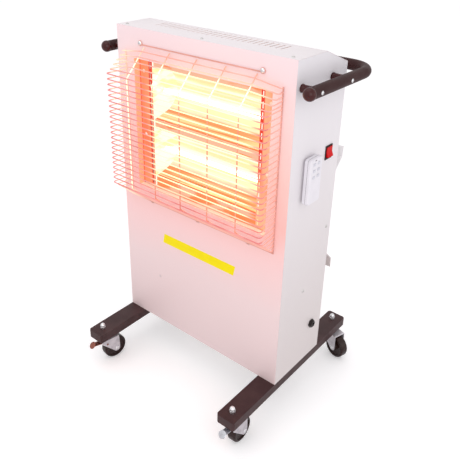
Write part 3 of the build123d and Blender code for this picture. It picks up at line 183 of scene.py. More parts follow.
class Shader(Graph):
    """One material's nodes, round its main surface shader."""

    def __init__(self, name: str) -> None:
        """Start a material.

        Args:
            name: the material's name.
        """
        self.material = bpy.data.materials.new(name)
        self.material.use_nodes = True
        super().__init__(self.material.node_tree)
        self.surface = self.tree.nodes["Principled BSDF"]
        self.place = self.node("TexCoord", {}, "Object")
        self.x, self.y, self.z = self.node("SeparateXYZ", {0: self.place}).node.outputs

    def rise(self, value: object, low: float, high: float, kind: str = "SMOOTHSTEP") -> Socket:
        """Step that leaves 0 where a value is low and reaches 1 where it is high."""
        return self.node("MapRange", {"Value": value, "From Min": low, "From Max": high}, interpolation_type=kind)

    def fall(self, value: object, low: float, high: float) -> Socket:
        """Step that leaves 1 where a value is low and reaches 0 where it is high."""
        return self.sum("SUBTRACT", 1.0, self.rise(value, low, high))

    def within(self, value: object, low: float, high: float, soft: float) -> Socket:
        """Mask that is 1 between two values, with edges that are soft to each side."""
        ends = (self.rise(value, end - soft, end + soft) for end in (low, high))
        return self.sum("SUBTRACT", *ends)

    def times(self, *masks: object) -> Socket:
        """Product of several masks.

        Args:
            masks: sockets or numbers.

        Returns:
            The product's socket.
        """
        result = masks[0]
        for mask in masks[1:]:
            result = self.sum("MULTIPLY", result, mask)
        return result

    def noise(self, scale: float, detail: float = 2.0, stretch: Triple = (1, 1, 1)) -> Socket:
        """Noise about 0.5 on Object coordinates: features a metre, octaves, and scale along each axis."""
        turned = self.node("Mapping", {"Vector": self.place, "Scale": stretch})
        return self.node("TexNoise", {"Vector": turned, "Scale": scale, "Detail": detail}, "Fac")

    def mix(self, amount: object, first: object, second: object) -> Socket:
        """Blend of two colours: amount 0 gives the first, 1 the second."""
        return self.node("Mix", {0: amount, 6: first, 7: second}, 2, data_type="RGBA")

    def ramp(self, value: object, stops: tuple[tuple[float, Tint], ...]) -> Socket:
        """Colour by a value.

        Args:
            value: the value that is read, 0 to 1.
            stops: places and their colours, in order.

        Returns:
            The colour's socket.
        """
        colour = self.node("ValToRGB", {0: value})
        elements = colour.node.color_ramp.elements
        while len(elements) < len(stops):
            elements.new(0.5)
        for element, (place, shown) in zip(elements, stops):
            element.position = place
            element.color = shown
        return colour

    def bump(self, height: object, strength: float, distance: float) -> None:
        """Raise the surface by a height pattern, by a share of a distance in metres."""
        raised = self.node("Bump", {"Height": height, "Strength": strength, "Distance": distance})
        self.join(raised, self.surface.inputs["Normal"])

    def finish(self, **values: object) -> None:
        """Set the surface's inputs, whose names are written with underscores."""
        for key, value in values.items():
            self.join(value, self.surface.inputs[key.replace("_", " ")])


@dataclass(frozen=True)
class Finish:
    """A named finish, which becomes a material on its first use."""

    name: str

    def build(self) -> bpy.types.Material:
        """Make the material.

        Returns:
            The finished material.
        """
        shader = Shader(self.name)
        self.dress(shader)
        return shader.material

    def dress(self, shader: Shader) -> None:
        """Give the shader its colour, relief and shine.

        Args:
            shader: the material's nodes.
        """
        raise NotImplementedError


@dataclass(frozen=True)
class GlowPaintedCoat(Finish):
    """White powder coat on the front, with a pink glow from the heater's opening painted into its colour."""

    name: str = "white_coat_front"
    foot: float = 0.10
    head: float = 0.86
    # painted pink glow, strongest beside the opening, paler near the top and darker towards the bottom
    stops: tuple[tuple[float, Tint], ...] = (
        (0.0, tint(230, 208, 208)), (0.26, tint(240, 216, 216)), (0.42, tint(252, 212, 211)),
        (0.55, tint(254, 201, 195)), (0.70, tint(253, 214, 209)), (0.86, tint(252, 225, 225)),
        (1.0, tint(249, 227, 230)))
    painted_reveal_glow: Tint = tint(251, 176, 138)
    painted_sill_glow: Tint = tint(255, 214, 198)
    half_width: float = 0.189
    middle: float = 0.636
    half_height: float = 0.156
    skin: Pair = (-0.0792, -0.0786)
    fold: Pair = (-0.0025, -0.0018)

    def dress(self, shader: Shader) -> None:
        """Painted pink glow by height, and painted light and emission on the folded edge of the opening, as if lit from
        inside.

        Args:
            shader: the material's nodes.
        """
        drift = shader.sum("MULTIPLY_ADD", shader.noise(4.0, 2.0), 0.05, -0.025)
        share = shader.rise(shader.sum("ADD", shader.z, drift), self.foot, self.head, "LINEAR")
        coat = shader.ramp(share, self.stops)
        beside = shader.sum("SUBTRACT", self.half_width, shader.sum("ABSOLUTE", shader.x))
        up = shader.sum("ABSOLUTE", shader.sum("SUBTRACT", shader.z, self.middle))
        above = shader.sum("SUBTRACT", self.half_height, up)
        # mask of the opening's folded edge, which gets painted light and a painted emission
        inside = shader.times(shader.rise(shader.y, *self.skin), shader.rise(beside, *self.fold),
                              shader.rise(above, *self.fold))
        level = shader.rise(up, self.half_height - 0.002, self.half_height - 0.0005)
        painted_reveal_glow = shader.mix(level, self.painted_reveal_glow, self.painted_sill_glow)
        shader.bump(shader.noise(1400.0, 1.0), 0.12, 0.0003)
        shader.finish(Base_Color=shader.mix(inside, coat, painted_reveal_glow),
                      Roughness=shader.sum("MULTIPLY_ADD", shader.noise(60.0, 3.0), 0.10, 0.38),
                      Emission_Color=shader.mix(inside, (0, 0, 0, 1), painted_reveal_glow), Emission_Strength=0.35)


@dataclass(frozen=True)
class PowderCoat(Finish):
    """Satin powder coat with painted shade, its colour easing from a darker foot to a lighter head, with a fine orange
    peel.
    """

    foot: Tint
    head: Tint
    bottom: float = 0.10
    top: float = 0.86
    roughness: float = 0.37

    def dress(self, shader: Shader) -> None:
        """Give the shader its colour, relief and shine.

        Args:
            shader: the material's nodes.
        """
        # painted shade: the colour eases from the darker foot tint low down to the head tint up high
        painted_shade_tone = shader.mix(shader.rise(shader.z, self.bottom, self.top), self.foot, self.head)
        cloud = shader.times(shader.noise(9.0, 3.0), 0.06)
        shader.bump(shader.noise(1400.0, 1.0), 0.12, 0.0003)
        shader.finish(Base_Color=shader.mix(cloud, painted_shade_tone, tint(176, 172, 174)),
                      Roughness=shader.sum("MULTIPLY_ADD", shader.noise(50.0, 3.0), 0.10, self.roughness))


@dataclass(frozen=True)
class DarkPaint(Finish):
    """Dark brown paint over steel, a little uneven, with fine dust lying in it."""

    colour: Tint
    worn: Tint
    roughness: float
    sheen: float = 0.28

    def dress(self, shader: Shader) -> None:
        """Give the shader its colour, relief and shine.

        Args:
            shader: the material's nodes.
        """
        cloud = shader.rise(shader.noise(22.0, 5.0), 0.35, 0.8)
        shader.bump(shader.noise(900.0, 2.0), 0.2, 0.0004)
        shader.finish(Base_Color=shader.mix(shader.times(cloud, 0.5), self.colour, self.worn),
                      Roughness=shader.sum("MULTIPLY_ADD", shader.noise(70.0, 4.0), 0.22, self.roughness),
                      Specular_IOR_Level=self.sheen)


@dataclass(frozen=True)
class GuardWire(Finish):
    """Plated wire with the lamps' light painted on it: a painted rosy reflection of the glow at the rim, painted pale
    cream light where it crosses the heater.
    """

    rosy: Tint
    deep: Tint
    cream: Tint = tint(255, 228, 182)
    left: float = -0.080
    right: float = 0.190
    bottom: float = 0.535
    top: float = 0.806
    glow: float = 0.22
    soft: float = 0.022
    front: Pair = (-0.108, -0.094)
    root: Pair = (-0.134, -0.122)
    left_side: Pair = (-0.205, -0.150)

    def dress(self, shader: Shader) -> None:
        """Mask the part with painted light, and paint light on the wires' returns to the cabinet, most of all on the
        left.

        Args:
            shader: the material's nodes.
        """
        # painted light: cream colour and stronger emission over the heater's opening; the rosy tints elsewhere are a
        # painted reflection of the glow
        lit = shader.times(shader.within(shader.x, self.left, self.right, self.soft),
                           shader.within(shader.z, self.bottom, self.top, self.soft),
                           shader.fall(shader.y, *self.front))
        patchy = shader.rise(shader.noise(26.0, 2.0), 0.3, 0.7)
        share = shader.sum("MULTIPLY_ADD", shader.fall(shader.x, *self.left_side), 0.60, 0.30)
        back = shader.times(shader.rise(shader.y, *self.root), share)
        rosy = shader.mix(back, shader.mix(patchy, self.rosy, self.deep), tint(255, 232, 204))
        colour = shader.mix(lit, rosy, self.cream)
        shader.bump(shader.noise(1500.0, 2.0), 0.1, 0.0002)
        shader.finish(Base_Color=colour, Metallic=0.1, Emission_Color=colour,
                      Roughness=shader.sum("MULTIPLY_ADD", shader.noise(300.0, 2.0), 0.15, 0.3),
                      Emission_Strength=shader.sum("MULTIPLY_ADD", lit, 0.5, self.glow))


@dataclass(frozen=True)
class ReflectorGlow(Finish):
    """Bright rolled sheet with painted glow and painted reflections of the lamp: pale yellow at the back, orange on the
    sloping walls.
    """

    middle: float
    reach: float = 0.062
    pale: Tint = tint(255, 238, 178)
    white: Tint = tint(255, 253, 240)
    orange: Tint = tint(246, 140, 84)
    red: Tint = tint(236, 104, 62)
    pink: Tint = tint(238, 184, 152)
    amber: Tint = tint(250, 214, 152)
    wall: Pair = (-0.034, -0.012)
    slope: Pair = (0.040, 0.048)
    lip: Pair = (-0.0552, -0.0544)
    mouth: Pair = (-0.0550, -0.0500)

    def dress(self, shader: Shader) -> None:
        """Painted light: bands up the trough from its lower lip, streaked walls, a patchy lip and a red line at the
        mouth, with white bands and streaks as painted reflections of the lamp.

        Args:
            shader: the material's nodes.
        """
        off_middle = shader.sum("SUBTRACT", shader.z, self.middle)
        wave = shader.sum("MULTIPLY_ADD", shader.noise(5.0, 3.0, (1.0, 5.0, 5.0)), 0.016, -0.008)
        share = shader.rise(shader.sum("ADD", off_middle, wave), -self.reach, self.reach, "LINEAR")
        # painted glow bands; the white ones stand for painted reflections of the lamp tube
        back = shader.ramp(share, (
            (0.0, self.orange), (0.10, self.orange), (0.17, self.pale), (0.30, self.pale), (0.36, self.white),
            (0.43, self.white), (0.49, self.pale), (0.62, self.pale), (0.66, self.white), (0.70, self.pale),
            (0.90, self.orange), (1.0, self.red)))
        # painted reflection streaks along the trough
        streak = shader.noise(60.0, 4.0, (0.05, 1.0, 1.6))
        back = shader.mix(shader.times(shader.rise(streak, 0.52, 0.62), 0.35), back, self.white)
        walls = shader.mix(shader.rise(streak, 0.40, 0.54), self.orange, self.amber)
        walls = shader.mix(shader.times(shader.rise(streak, 0.62, 0.68), 0.8), walls, self.red)
        edge = shader.rise(shader.sum("ABSOLUTE", off_middle), *self.slope)
        colour = shader.mix(shader.times(shader.fall(shader.y, *self.wall), edge), back, walls)
        patch = shader.mix(shader.rise(shader.noise(14.0, 3.0, (0.6, 1.0, 3.0)), 0.50, 0.58), self.pink, self.orange)
        colour = shader.mix(shader.fall(shader.y, *self.lip), colour, patch)
        mouth = shader.times(shader.within(shader.y, *self.mouth, 0.0006), edge)
        colour = shader.mix(mouth, colour, self.red)
        shader.bump(shader.noise(9.0, 2.0, (0.3, 1.0, 1.0)), 0.3, 0.004)
        shader.finish(Base_Color=shader.mix(0.82, colour, EMBER_BASE), Metallic=0.55, Roughness=0.22,
                      Emission_Color=colour, Emission_Strength=0.88)


@dataclass(frozen=True)
class EndPlateGlow(Finish):
    """Bright sheet at the end of the troughs, with painted glow: nearly white inside, orange to red on its flange."""

    flange: Tint
    slot_edge: Tint
    slot_foot: float = 0.40
    rim: Tint = tint(226, 84, 58)
    inner: Tint = tint(255, 252, 238)
    shade: Tint = tint(255, 236, 176)
    slot_side: Pair = (0.1585, 0.1625)
    outer_edge: Pair = (0.1855, 0.1868)
    behind: Pair = (-0.0610, -0.0602)

    def dress(self, shader: Shader) -> None:
        """Painted glow: clouded flange with a painted red shadow line at its rim and painted red glow about its slots,
        and painted reflection streaks on the plate behind it.

        Args:
            shader: the material's nodes.
        """
        across = shader.sum("ABSOLUTE", shader.x)
        cloud = shader.rise(shader.noise(30.0, 3.0, (1.0, 1.0, 0.25)), 0.4, 0.7)
        flange = shader.mix(shader.times(cloud, 0.35), self.flange, self.slot_edge)
        slots = shader.times(shader.fall(across, *self.slot_side),
                             shader.rise(shader.z, self.slot_foot, self.slot_foot + 0.08))
        flange = shader.mix(slots, flange, self.slot_edge)
        # painted shadow: a red line along the flange's outer edge
        flange = shader.mix(shader.times(shader.rise(across, *self.outer_edge), 0.8), flange, self.rim)
        streaks = shader.rise(shader.noise(26.0, 4.0, (0.4, 0.5, 1.6)), 0.46, 0.60)
        inner = shader.mix(streaks, self.inner, self.shade)
        colour = shader.mix(shader.rise(shader.y, *self.behind), flange, inner)
        shader.bump(shader.noise(400.0, 2.0), 0.15, 0.0003)
        shader.finish(Base_Color=shader.mix(0.7, colour, EMBER_BASE), Metallic=0.4, Roughness=0.32,
                      Emission_Color=colour, Emission_Strength=0.85)


@dataclass(frozen=True)
class Quartz(Finish):
    """Clear quartz tube with the lamp's light in it."""

    name: str = "quartz_tube"
    light: Tint = tint(255, 249, 226)

    def dress(self, shader: Shader) -> None:
        """Give the shader its colour and light.

        Args:
            shader: the material's nodes.
        """
        cloud = shader.rise(shader.noise(35.0, 2.0, (0.3, 1.0, 1.0)), 0.2, 0.8)
        shader.finish(Base_Color=self.light, Roughness=0.06, Transmission_Weight=0.35, IOR=1.46, Emission_Strength=1.6,
                      Emission_Color=shader.mix(cloud, tint(255, 244, 205), self.light))


@dataclass(frozen=True)
class HotWire(Finish):
    """Tungsten at its working heat."""

    name: str = "hot_filament"

    def dress(self, shader: Shader) -> None:
        """Give the shader its light.

        Args:
            shader: the material's nodes.
        """
        light = shader.mix(shader.noise(400.0, 1.0), tint(255, 214, 140), tint(255, 240, 200))
        shader.finish(Base_Color=(0.2, 0.1, 0.05, 1), Roughness=0.5, Emission_Color=light, Emission_Strength=4.0)


@dataclass(frozen=True)
class Plated(Finish):
    """Metal plate or bare metal, with faint clouds in its shine."""

    colour: Tint
    stain: Tint
    roughness: float = 0.3
    cloud_size: float = 90.0
    metal: float = 0.85

    def dress(self, shader: Shader) -> None:
        """Give the shader its colour, relief and shine.

        Args:
            shader: the material's nodes.
        """
        cloud = shader.rise(shader.noise(self.cloud_size, 4.0), 0.35, 0.75)
        shader.bump(shader.noise(700.0, 2.0), 0.12, 0.0002)
        shader.finish(Base_Color=shader.mix(shader.times(cloud, 0.45), self.colour, self.stain), Metallic=self.metal,
                      Roughness=shader.sum("MULTIPLY_ADD", cloud, 0.18, self.roughness))


@dataclass(frozen=True)
class Moulded(Finish):
    """Moulded plastic or rubber with a fine grain."""

    colour: Tint
    shade: Tint
    roughness: float = 0.34
    grain: float = 0.15
    sheen: float = 0.5

    def dress(self, shader: Shader) -> None:
        """Give the shader its colour, relief and shine.

        Args:
            shader: the material's nodes.
        """
        cloud = shader.rise(shader.noise(40.0, 3.0), 0.3, 0.8)
        shader.bump(shader.noise(1600.0, 2.0), self.grain, 0.0002)
        shader.finish(Base_Color=shader.mix(shader.times(cloud, 0.4), self.colour, self.shade),
                      Roughness=shader.sum("MULTIPLY_ADD", shader.noise(120.0, 3.0), 0.12, self.roughness),
                      Specular_IOR_Level=self.sheen)


@dataclass(frozen=True)
class BoardLacquer(Finish):
    """Green circuit board with copper tracks under its lacquer."""

    name: str = "board_lacquer"

    def dress(self, shader: Shader) -> None:
        """Give the shader its colour and shine.

        Args:
            shader: the material's nodes.
        """
        weave = shader.node("TexBrick", {"Vector": shader.place, "Scale": 120.0}, "Fac", offset=0.5)
        tracks = shader.rise(weave, 0.4, 0.6)
        shader.finish(Base_Color=shader.mix(tracks, tint(28, 92, 58), tint(70, 138, 84)), Roughness=0.35)


# the foot and head tints of the white coats are painted shade, darker towards the bottom; the lower cord hook is
# painted darker than the upper one
WHITE_SIDE = PowderCoat("white_coat_side", tint(216, 207, 206), tint(237, 234, 238))
WHITE_TOP = PowderCoat("white_coat_top", tint(236, 228, 229), tint(236, 229, 231))
WHITE_BACK = PowderCoat("white_coat_back", tint(222, 218, 217), tint(235, 232, 234))
WHITE_HOOK = PowderCoat("white_coat_hook", tint(206, 194, 192), tint(246, 244, 245), 0.30, 0.56)
LEG_PAINT = DarkPaint("leg_paint", tint(58, 34, 35), tint(84, 58, 58), 0.33)
HANDLE_PAINT = DarkPaint("handle_paint", tint(58, 34, 34), tint(72, 46, 45), 0.35, 0.10)
CAP_PLASTIC = Moulded("dark_cap", tint(66, 14, 14), tint(34, 8, 10), 0.14, 0.08, 0.35)
WHEEL_PLASTIC = Moulded("wheel_plastic", tint(42, 21, 18), tint(30, 14, 13), 0.20, 0.10, 0.3)
BLACK_PLASTIC = Moulded("black_plastic", tint(36, 27, 27), tint(50, 40, 40), 0.36, 0.15, 0.3)
WHITE_PLASTIC = Moulded("white_plastic", tint(234, 231, 237), tint(220, 217, 223), 0.28, 0.06)
SHELL_SHADOW = Moulded("shell_shadow", tint(96, 92, 95), tint(120, 116, 119), 0.54)
KEY_RUBBER = Moulded("key_rubber", tint(218, 218, 226), tint(200, 200, 210), 0.49)
ROCKER_PLASTIC = Moulded("rocker_plastic", tint(216, 2, 8), tint(176, 2, 8), 0.24, 0.04, 0.15)
VINYL = Moulded("yellow_vinyl", tint(250, 232, 0), tint(242, 222, 0), 0.34, 0.04, 0.15)
CERAMIC = Moulded("lamp_ceramic", tint(240, 234, 222), tint(220, 212, 198), 0.54)
LED_LENS = Moulded("led_lens", tint(70, 60, 66), tint(40, 34, 38), 0.14)
LENS = Moulded("receiver_lens_plastic", tint(222, 202, 204), tint(210, 190, 193), 0.24)
ZINC = Plated("zinc_plate", tint(214, 212, 210), tint(172, 168, 166))
BRIGHT = Plated("bright_plate", tint(232, 232, 234), tint(196, 196, 200), 0.14, 160.0)
FORK_ZINC = Plated("fork_zinc", tint(208, 203, 208), tint(150, 144, 150), 0.36, 70.0, 0.55)
# painted light: the end plates' zinc screws painted pale, lit by the glow
LIT_SCREW = Plated("lit_screw", tint(255, 246, 236), tint(250, 226, 206), 0.3, 90.0, 0.2)
PEDAL_ZINC = Plated("pedal_zinc", tint(206, 206, 212), tint(128, 124, 130), 0.22, 160.0)
# painted brown reflection: the front left pedal is the same zinc as the front right one, painted brown
PEDAL_BROWN_REFLECTION = Plated("pedal_copper", tint(150, 92, 80), tint(84, 44, 38), 0.20, 160.0)


# Shapes


def stand(name: str, data: bpy.types.ID) -> bpy.types.Object:
    """Object that is linked to the scene.

    Args:
        name: the object's name.
        data: its mesh, curve, light or camera.

    Returns:
        The object.
    """
    made = bpy.data.objects.new(name, data)
    bpy.context.scene.collection.objects.link(made)
    return made


def settled(name: str, bm: Mesh) -> bpy.types.Mesh:
    """Mesh data from a shape.

    Args:
        name: the data's name.
        bm: the shape, which is freed.

    Returns:
        The mesh data.
    """
    mesh = bpy.data.meshes.new(name)
    bm.to_mesh(mesh)
    bm.free()
    return mesh


def rounded(points: Points, bend: float, steps: int) -> Points:
    """Route with its corners turned into bends.

    Args:
        points: the route's corners, in metres.
        bend: bend radius at each corner, in metres.
        steps: pieces that each bend is made of.

    Returns:
        The route's points.
    """
    route = [points[0]]
    for before, corner, after in zip(points, points[1:], points[2:]):
        into, out = (before - corner), (after - corner)
        opening = into.angle(out)
        reach = min(bend / math.tan(opening / 2), into.length * LONGEST_BEND, out.length * LONGEST_BEND)
        start, end = corner + into.normalized() * reach, corner + out.normalized() * reach
        bisector = (into.normalized() + out.normalized()).normalized()
        centre = corner + bisector * (reach / math.cos(opening / 2))
        first, last = start - centre, end - centre
        for step in range(steps + 1):
            route.append(centre + first.slerp(last, step / steps).normalized() * first.length)
    route.append(points[-1])
    return route


def rods(routes: list[Points], radius: float, sides: int) -> Mesh:
    """Round rods along routes.

    Args:
        routes: the points of each rod, in metres.
        radius: the rods' radius in metres.
        sides: sides of each rod, an even number of at least 4.

    Returns:
        A mesh of all the rods, with closed ends.
    """
    data = bpy.data.curves.new("rods", "CURVE")
    data.dimensions = "3D"
    data.bevel_depth = radius
    data.bevel_resolution = (sides - 4) // 2
    data.use_fill_caps = True
    for route in routes:
        spline = data.splines.new("POLY")
        spline.points.add(len(route) - 1)
        for point, place in zip(spline.points, route):
            point.co = (*place, 1.0)
    carrier = stand("rods", data)
    mesh = bpy.data.meshes.new_from_object(carrier.evaluated_get(bpy.context.evaluated_depsgraph_get()))
    bm = bmesh.new()
    bm.from_mesh(mesh)
    bpy.data.objects.remove(carrier)
    bpy.data.meshes.remove(mesh)
    bpy.data.curves.remove(data)
    bmesh.ops.remove_doubles(bm, verts=bm.verts, dist=WELD)
    return bm


def lathe(profile: Outline, segments: int) -> Mesh:
    """Turned piece about the Z axis.

    Args:
        profile: points of the outline as radius and height, in millimetres.
        segments: steps round the piece.

    Returns:
        The turned mesh, closed where the outline is closed or ends on the axis.
    """
    bm = bmesh.new()
    chain = [bm.verts.new((radius * MM, 0, height * MM)) for radius, height in profile]
    edges = [bm.edges.new(pair) for pair in zip(chain, chain[1:])]
    bmesh.ops.spin(bm, geom=chain + edges, cent=(0, 0, 0), axis=(0, 0, 1), dvec=(0, 0, 0), angle=math.tau,
                   steps=segments, use_merge=True, use_duplicate=False)
    bmesh.ops.remove_doubles(bm, verts=bm.verts, dist=WELD)
    bmesh.ops.recalc_face_normals(bm, faces=bm.faces)
    return bm


def arc(centre: Pair, radius: float, start: float, end: float, steps: int) -> Outline:
    """Points on an arc of an outline, from one angle in degrees to another."""
    turns = [math.radians(start + (end - start) * step / steps) for step in range(steps + 1)]
    return [(centre[0] + radius * math.cos(turn), centre[1] + radius * math.sin(turn)) for turn in turns]


def dome(radius: float, foot: float, rise: float, steps: int) -> Outline:
    """Points from the foot of an upright dome nearly to its top, on a quarter of an ellipse."""
    turns = [math.pi / 2 * step / steps for step in range(1, steps)]
    return [(radius * math.cos(turn), foot + rise * math.sin(turn)) for turn in turns]


def ease(bm: Mesh, edges: list[bmesh.types.BMEdge], width: float, segments: int) -> None:
    """Round some of a mesh's edges, by a width in metres."""
    bmesh.ops.bevel(bm, geom=edges, offset=width, segments=segments, affect="EDGES", profile=0.5, clamp_overlap=True,
                    material=-1)


def cube(size: Vector, middle: Vector) -> Mesh:
    """Plain box.

    Args:
        size: its lengths in metres.
        middle: its centre.

    Returns:
        The mesh.
    """
    bm = bmesh.new()
    bmesh.ops.create_cube(bm, size=1.0, matrix=Matrix.Translation(middle) @ Matrix.Diagonal((*size, 1.0)))
    return bm


def block(size: Vector, middle: Vector, edge: float) -> Mesh:
    """Box with all its edges rounded.

    Args:
        size: its lengths in metres.
        middle: its centre.
        edge: width of its rounded edges.

    Returns:
        The mesh.
    """
    bm = cube(size, middle)
    ease(bm, bm.edges[:], edge, 2)
    return bm


def slab(corners: Points, push: Vector) -> Mesh:
    """Flat outline pushed along a vector into a closed shape.

    Args:
        corners: the outline's corners in metres.
        push: how far its second face is from the first.

    Returns:
        The mesh.
    """
    bm = bmesh.new()
    face = bm.faces.new([bm.verts.new(corner) for corner in corners])
    grown = bmesh.ops.extrude_face_region(bm, geom=[face])
    moved = [item for item in grown["geom"] if isinstance(item, bmesh.types.BMVert)]
    bmesh.ops.translate(bm, verts=moved, vec=push)
    bmesh.ops.recalc_face_normals(bm, faces=bm.faces)
    return bm


def plate(outline: Outline, low: float, high: float, edge: float = 0.4) -> Mesh:
    """Flat plate that stands along X and Z.

    Args:
        outline: the plate's corners as X and Z, in millimetres.
        low: Y of its first face.
        high: Y of its second face.
        edge: width of its eased edges.

    Returns:
        The mesh.
    """
    bm = slab([Vector((x, low, z)) * MM for x, z in outline], Vector((0, high - low, 0)) * MM)
    ease(bm, [e for e in bm.edges if e.calc_face_angle(0.0) > math.radians(50)], edge * MM, 2)
    return bm


def put(target: Mesh, part: Mesh, place: Matrix = Matrix.Identity(4)) -> None:
    """Add a part to a mesh at a place, and free the part.

    Args:
        target: the mesh that grows.
        part: the mesh that is added.
        place: where it goes.
    """
    mesh = settled("part", part)
    mesh.transform(place)
    target.from_mesh(mesh)
    bpy.data.meshes.remove(mesh)


def copies(make: Callable[[], Mesh], places: list[Matrix]) -> Mesh:
    """Mesh with a part made anew at each of some places.

    Args:
        make: makes the part.
        places: where the copies go.

    Returns:
        The mesh.
    """
    bm = bmesh.new()
    for place in places:
        put(bm, make(), place)
    return bm


def screw(radius: float, height: float, shank: float, length: float) -> Mesh:
    """Round-headed cross-head screw that stands on Z 0.

    Args:
        radius: the head's radius in millimetres.
        height: the head's height.
        shank: the shank's radius.
        length: the shank's length.

    Returns:
        The screw's mesh.
    """
    bulge = (radius * radius + height * height) / (2 * height)
    half = math.degrees(math.asin(radius / bulge))
    head = [(0.0, height)] + arc((0, height - bulge), bulge, 90, 90 - half, 7)[1:]
    blank = settled("blank", lathe(head + [(radius, 0), (shank, 0), (shank, -length), (0, -length)], 24))
    long, narrow, deep = radius * 1.1, radius * 0.22, height * 1.1
    top = Vector((0, 0, height * MM))
    cross = cube(Vector((long, narrow, deep)) * MM, top)
    put(cross, cube(Vector((narrow, long, deep)) * MM, top))
    body, cutter = stand("blank", blank), stand("cross", settled("cross", cross))
    cut = body.modifiers.new("recess", "BOOLEAN")
    cut.operation = "DIFFERENCE"
    cut.solver = "EXACT"
    cut.use_self = True
    cut.object = cutter
    result = bpy.data.meshes.new_from_object(body.evaluated_get(bpy.context.evaluated_depsgraph_get()))
    bm = bmesh.new()
    bm.from_mesh(result)
    for mesh, made in ((blank, body), (cutter.data, cutter)):
        bpy.data.objects.remove(made)
        bpy.data.meshes.remove(mesh)
    bpy.data.meshes.remove(result)
    return bm


def screws(size: Quad, places: list[Matrix]) -> Mesh:
    """Screws at some places, of a size that is listed as for one screw."""
    return copies(lambda: screw(*size), places)


class Workshop:
    """Makes finished objects from meshes, dresses them and seats them on the CAD bodies."""

    def __init__(self) -> None:
        """Start with no finishes made."""
        self.made: dict[str, bpy.types.Material] = {}

    def material(self, finish: Finish) -> bpy.types.Material:
        """Material of a finish, made on its first use.

        Args:
            finish: the finish.

        Returns:
            Its material.
        """
        if finish.name not in self.made:
            self.made[finish.name] = finish.build()
        return self.made[finish.name]

    def body_of(self, node: str) -> str:
        """Name of the CAD body that a node rides on."""
        return frame["nodes"][node].parent.name.split(":", 1)[1]

    def piece(self, name: str, bm: Mesh, finish: Finish, slot: str, *stands_for: str, body: str = "cabinet",
              crease: float = 35.0) -> bpy.types.Object:
        """Turn a mesh into a finished piece.

        Args:
            name: the piece's name.
            bm: its mesh, in place, which is freed.
            finish: its finish.
            slot: the record's material slot; not used.
            stands_for: CAD nodes that it replaces.
            body: the CAD body it rides on.
            crease: edges sharper than this many degrees stay sharp.

        Returns:
            The piece's object.
        """
        for face in bm.faces:
            face.smooth = True
        for edge in bm.edges:
            if len(edge.link_faces) == 2:
                edge.smooth = edge.calc_face_angle(0.0) < math.radians(crease)
        mesh = settled(name, bm)
        mesh.materials.append(self.material(finish))
        made = stand(name, mesh)
        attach(made, body)
        if stands_for:
            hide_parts(*stands_for)
        log.info("%s: %d faces on %s", name, len(mesh.polygons), body)
        return made

    def softened(self, node: str, finish: Finish, slot: str, edge: float = 0.3, segments: int = 2,
                 crease: float = 35.0) -> None:
        """Make a piece from a CAD node: its triangles joined, its flat faces whole and its sharp edges eased.

        Args:
            node: the CAD node.
            finish: its finish.
            slot: the record's material slot.
            edge: width of the eased edges in millimetres, or 0 for none.
            segments: pieces of each eased edge.
            crease: edges sharper than this many degrees count as sharp.
        """
        bm = bmesh.new()
        bm.from_mesh(frame["nodes"][node].data)
        bmesh.ops.remove_doubles(bm, verts=bm.verts, dist=2 * WELD)
        bmesh.ops.dissolve_limit(bm, angle_limit=math.radians(0.5), verts=bm.verts, edges=bm.edges)
        if edge > 0:
            sharp = [e for e in bm.edges if len(e.link_faces) == 2 and e.calc_face_angle(0.0) > math.radians(crease)]
            ease(bm, sharp, edge * MM, segments)
        made = self.piece(f"{node}_shape", bm, finish, slot, node, body=self.body_of(node), crease=crease + 10)
        weight = made.modifiers.new("flat_faces_stay_flat", "WEIGHTED_NORMAL")
        weight.keep_sharp = True


shop = Workshop()


# The heater's sub-assemblies


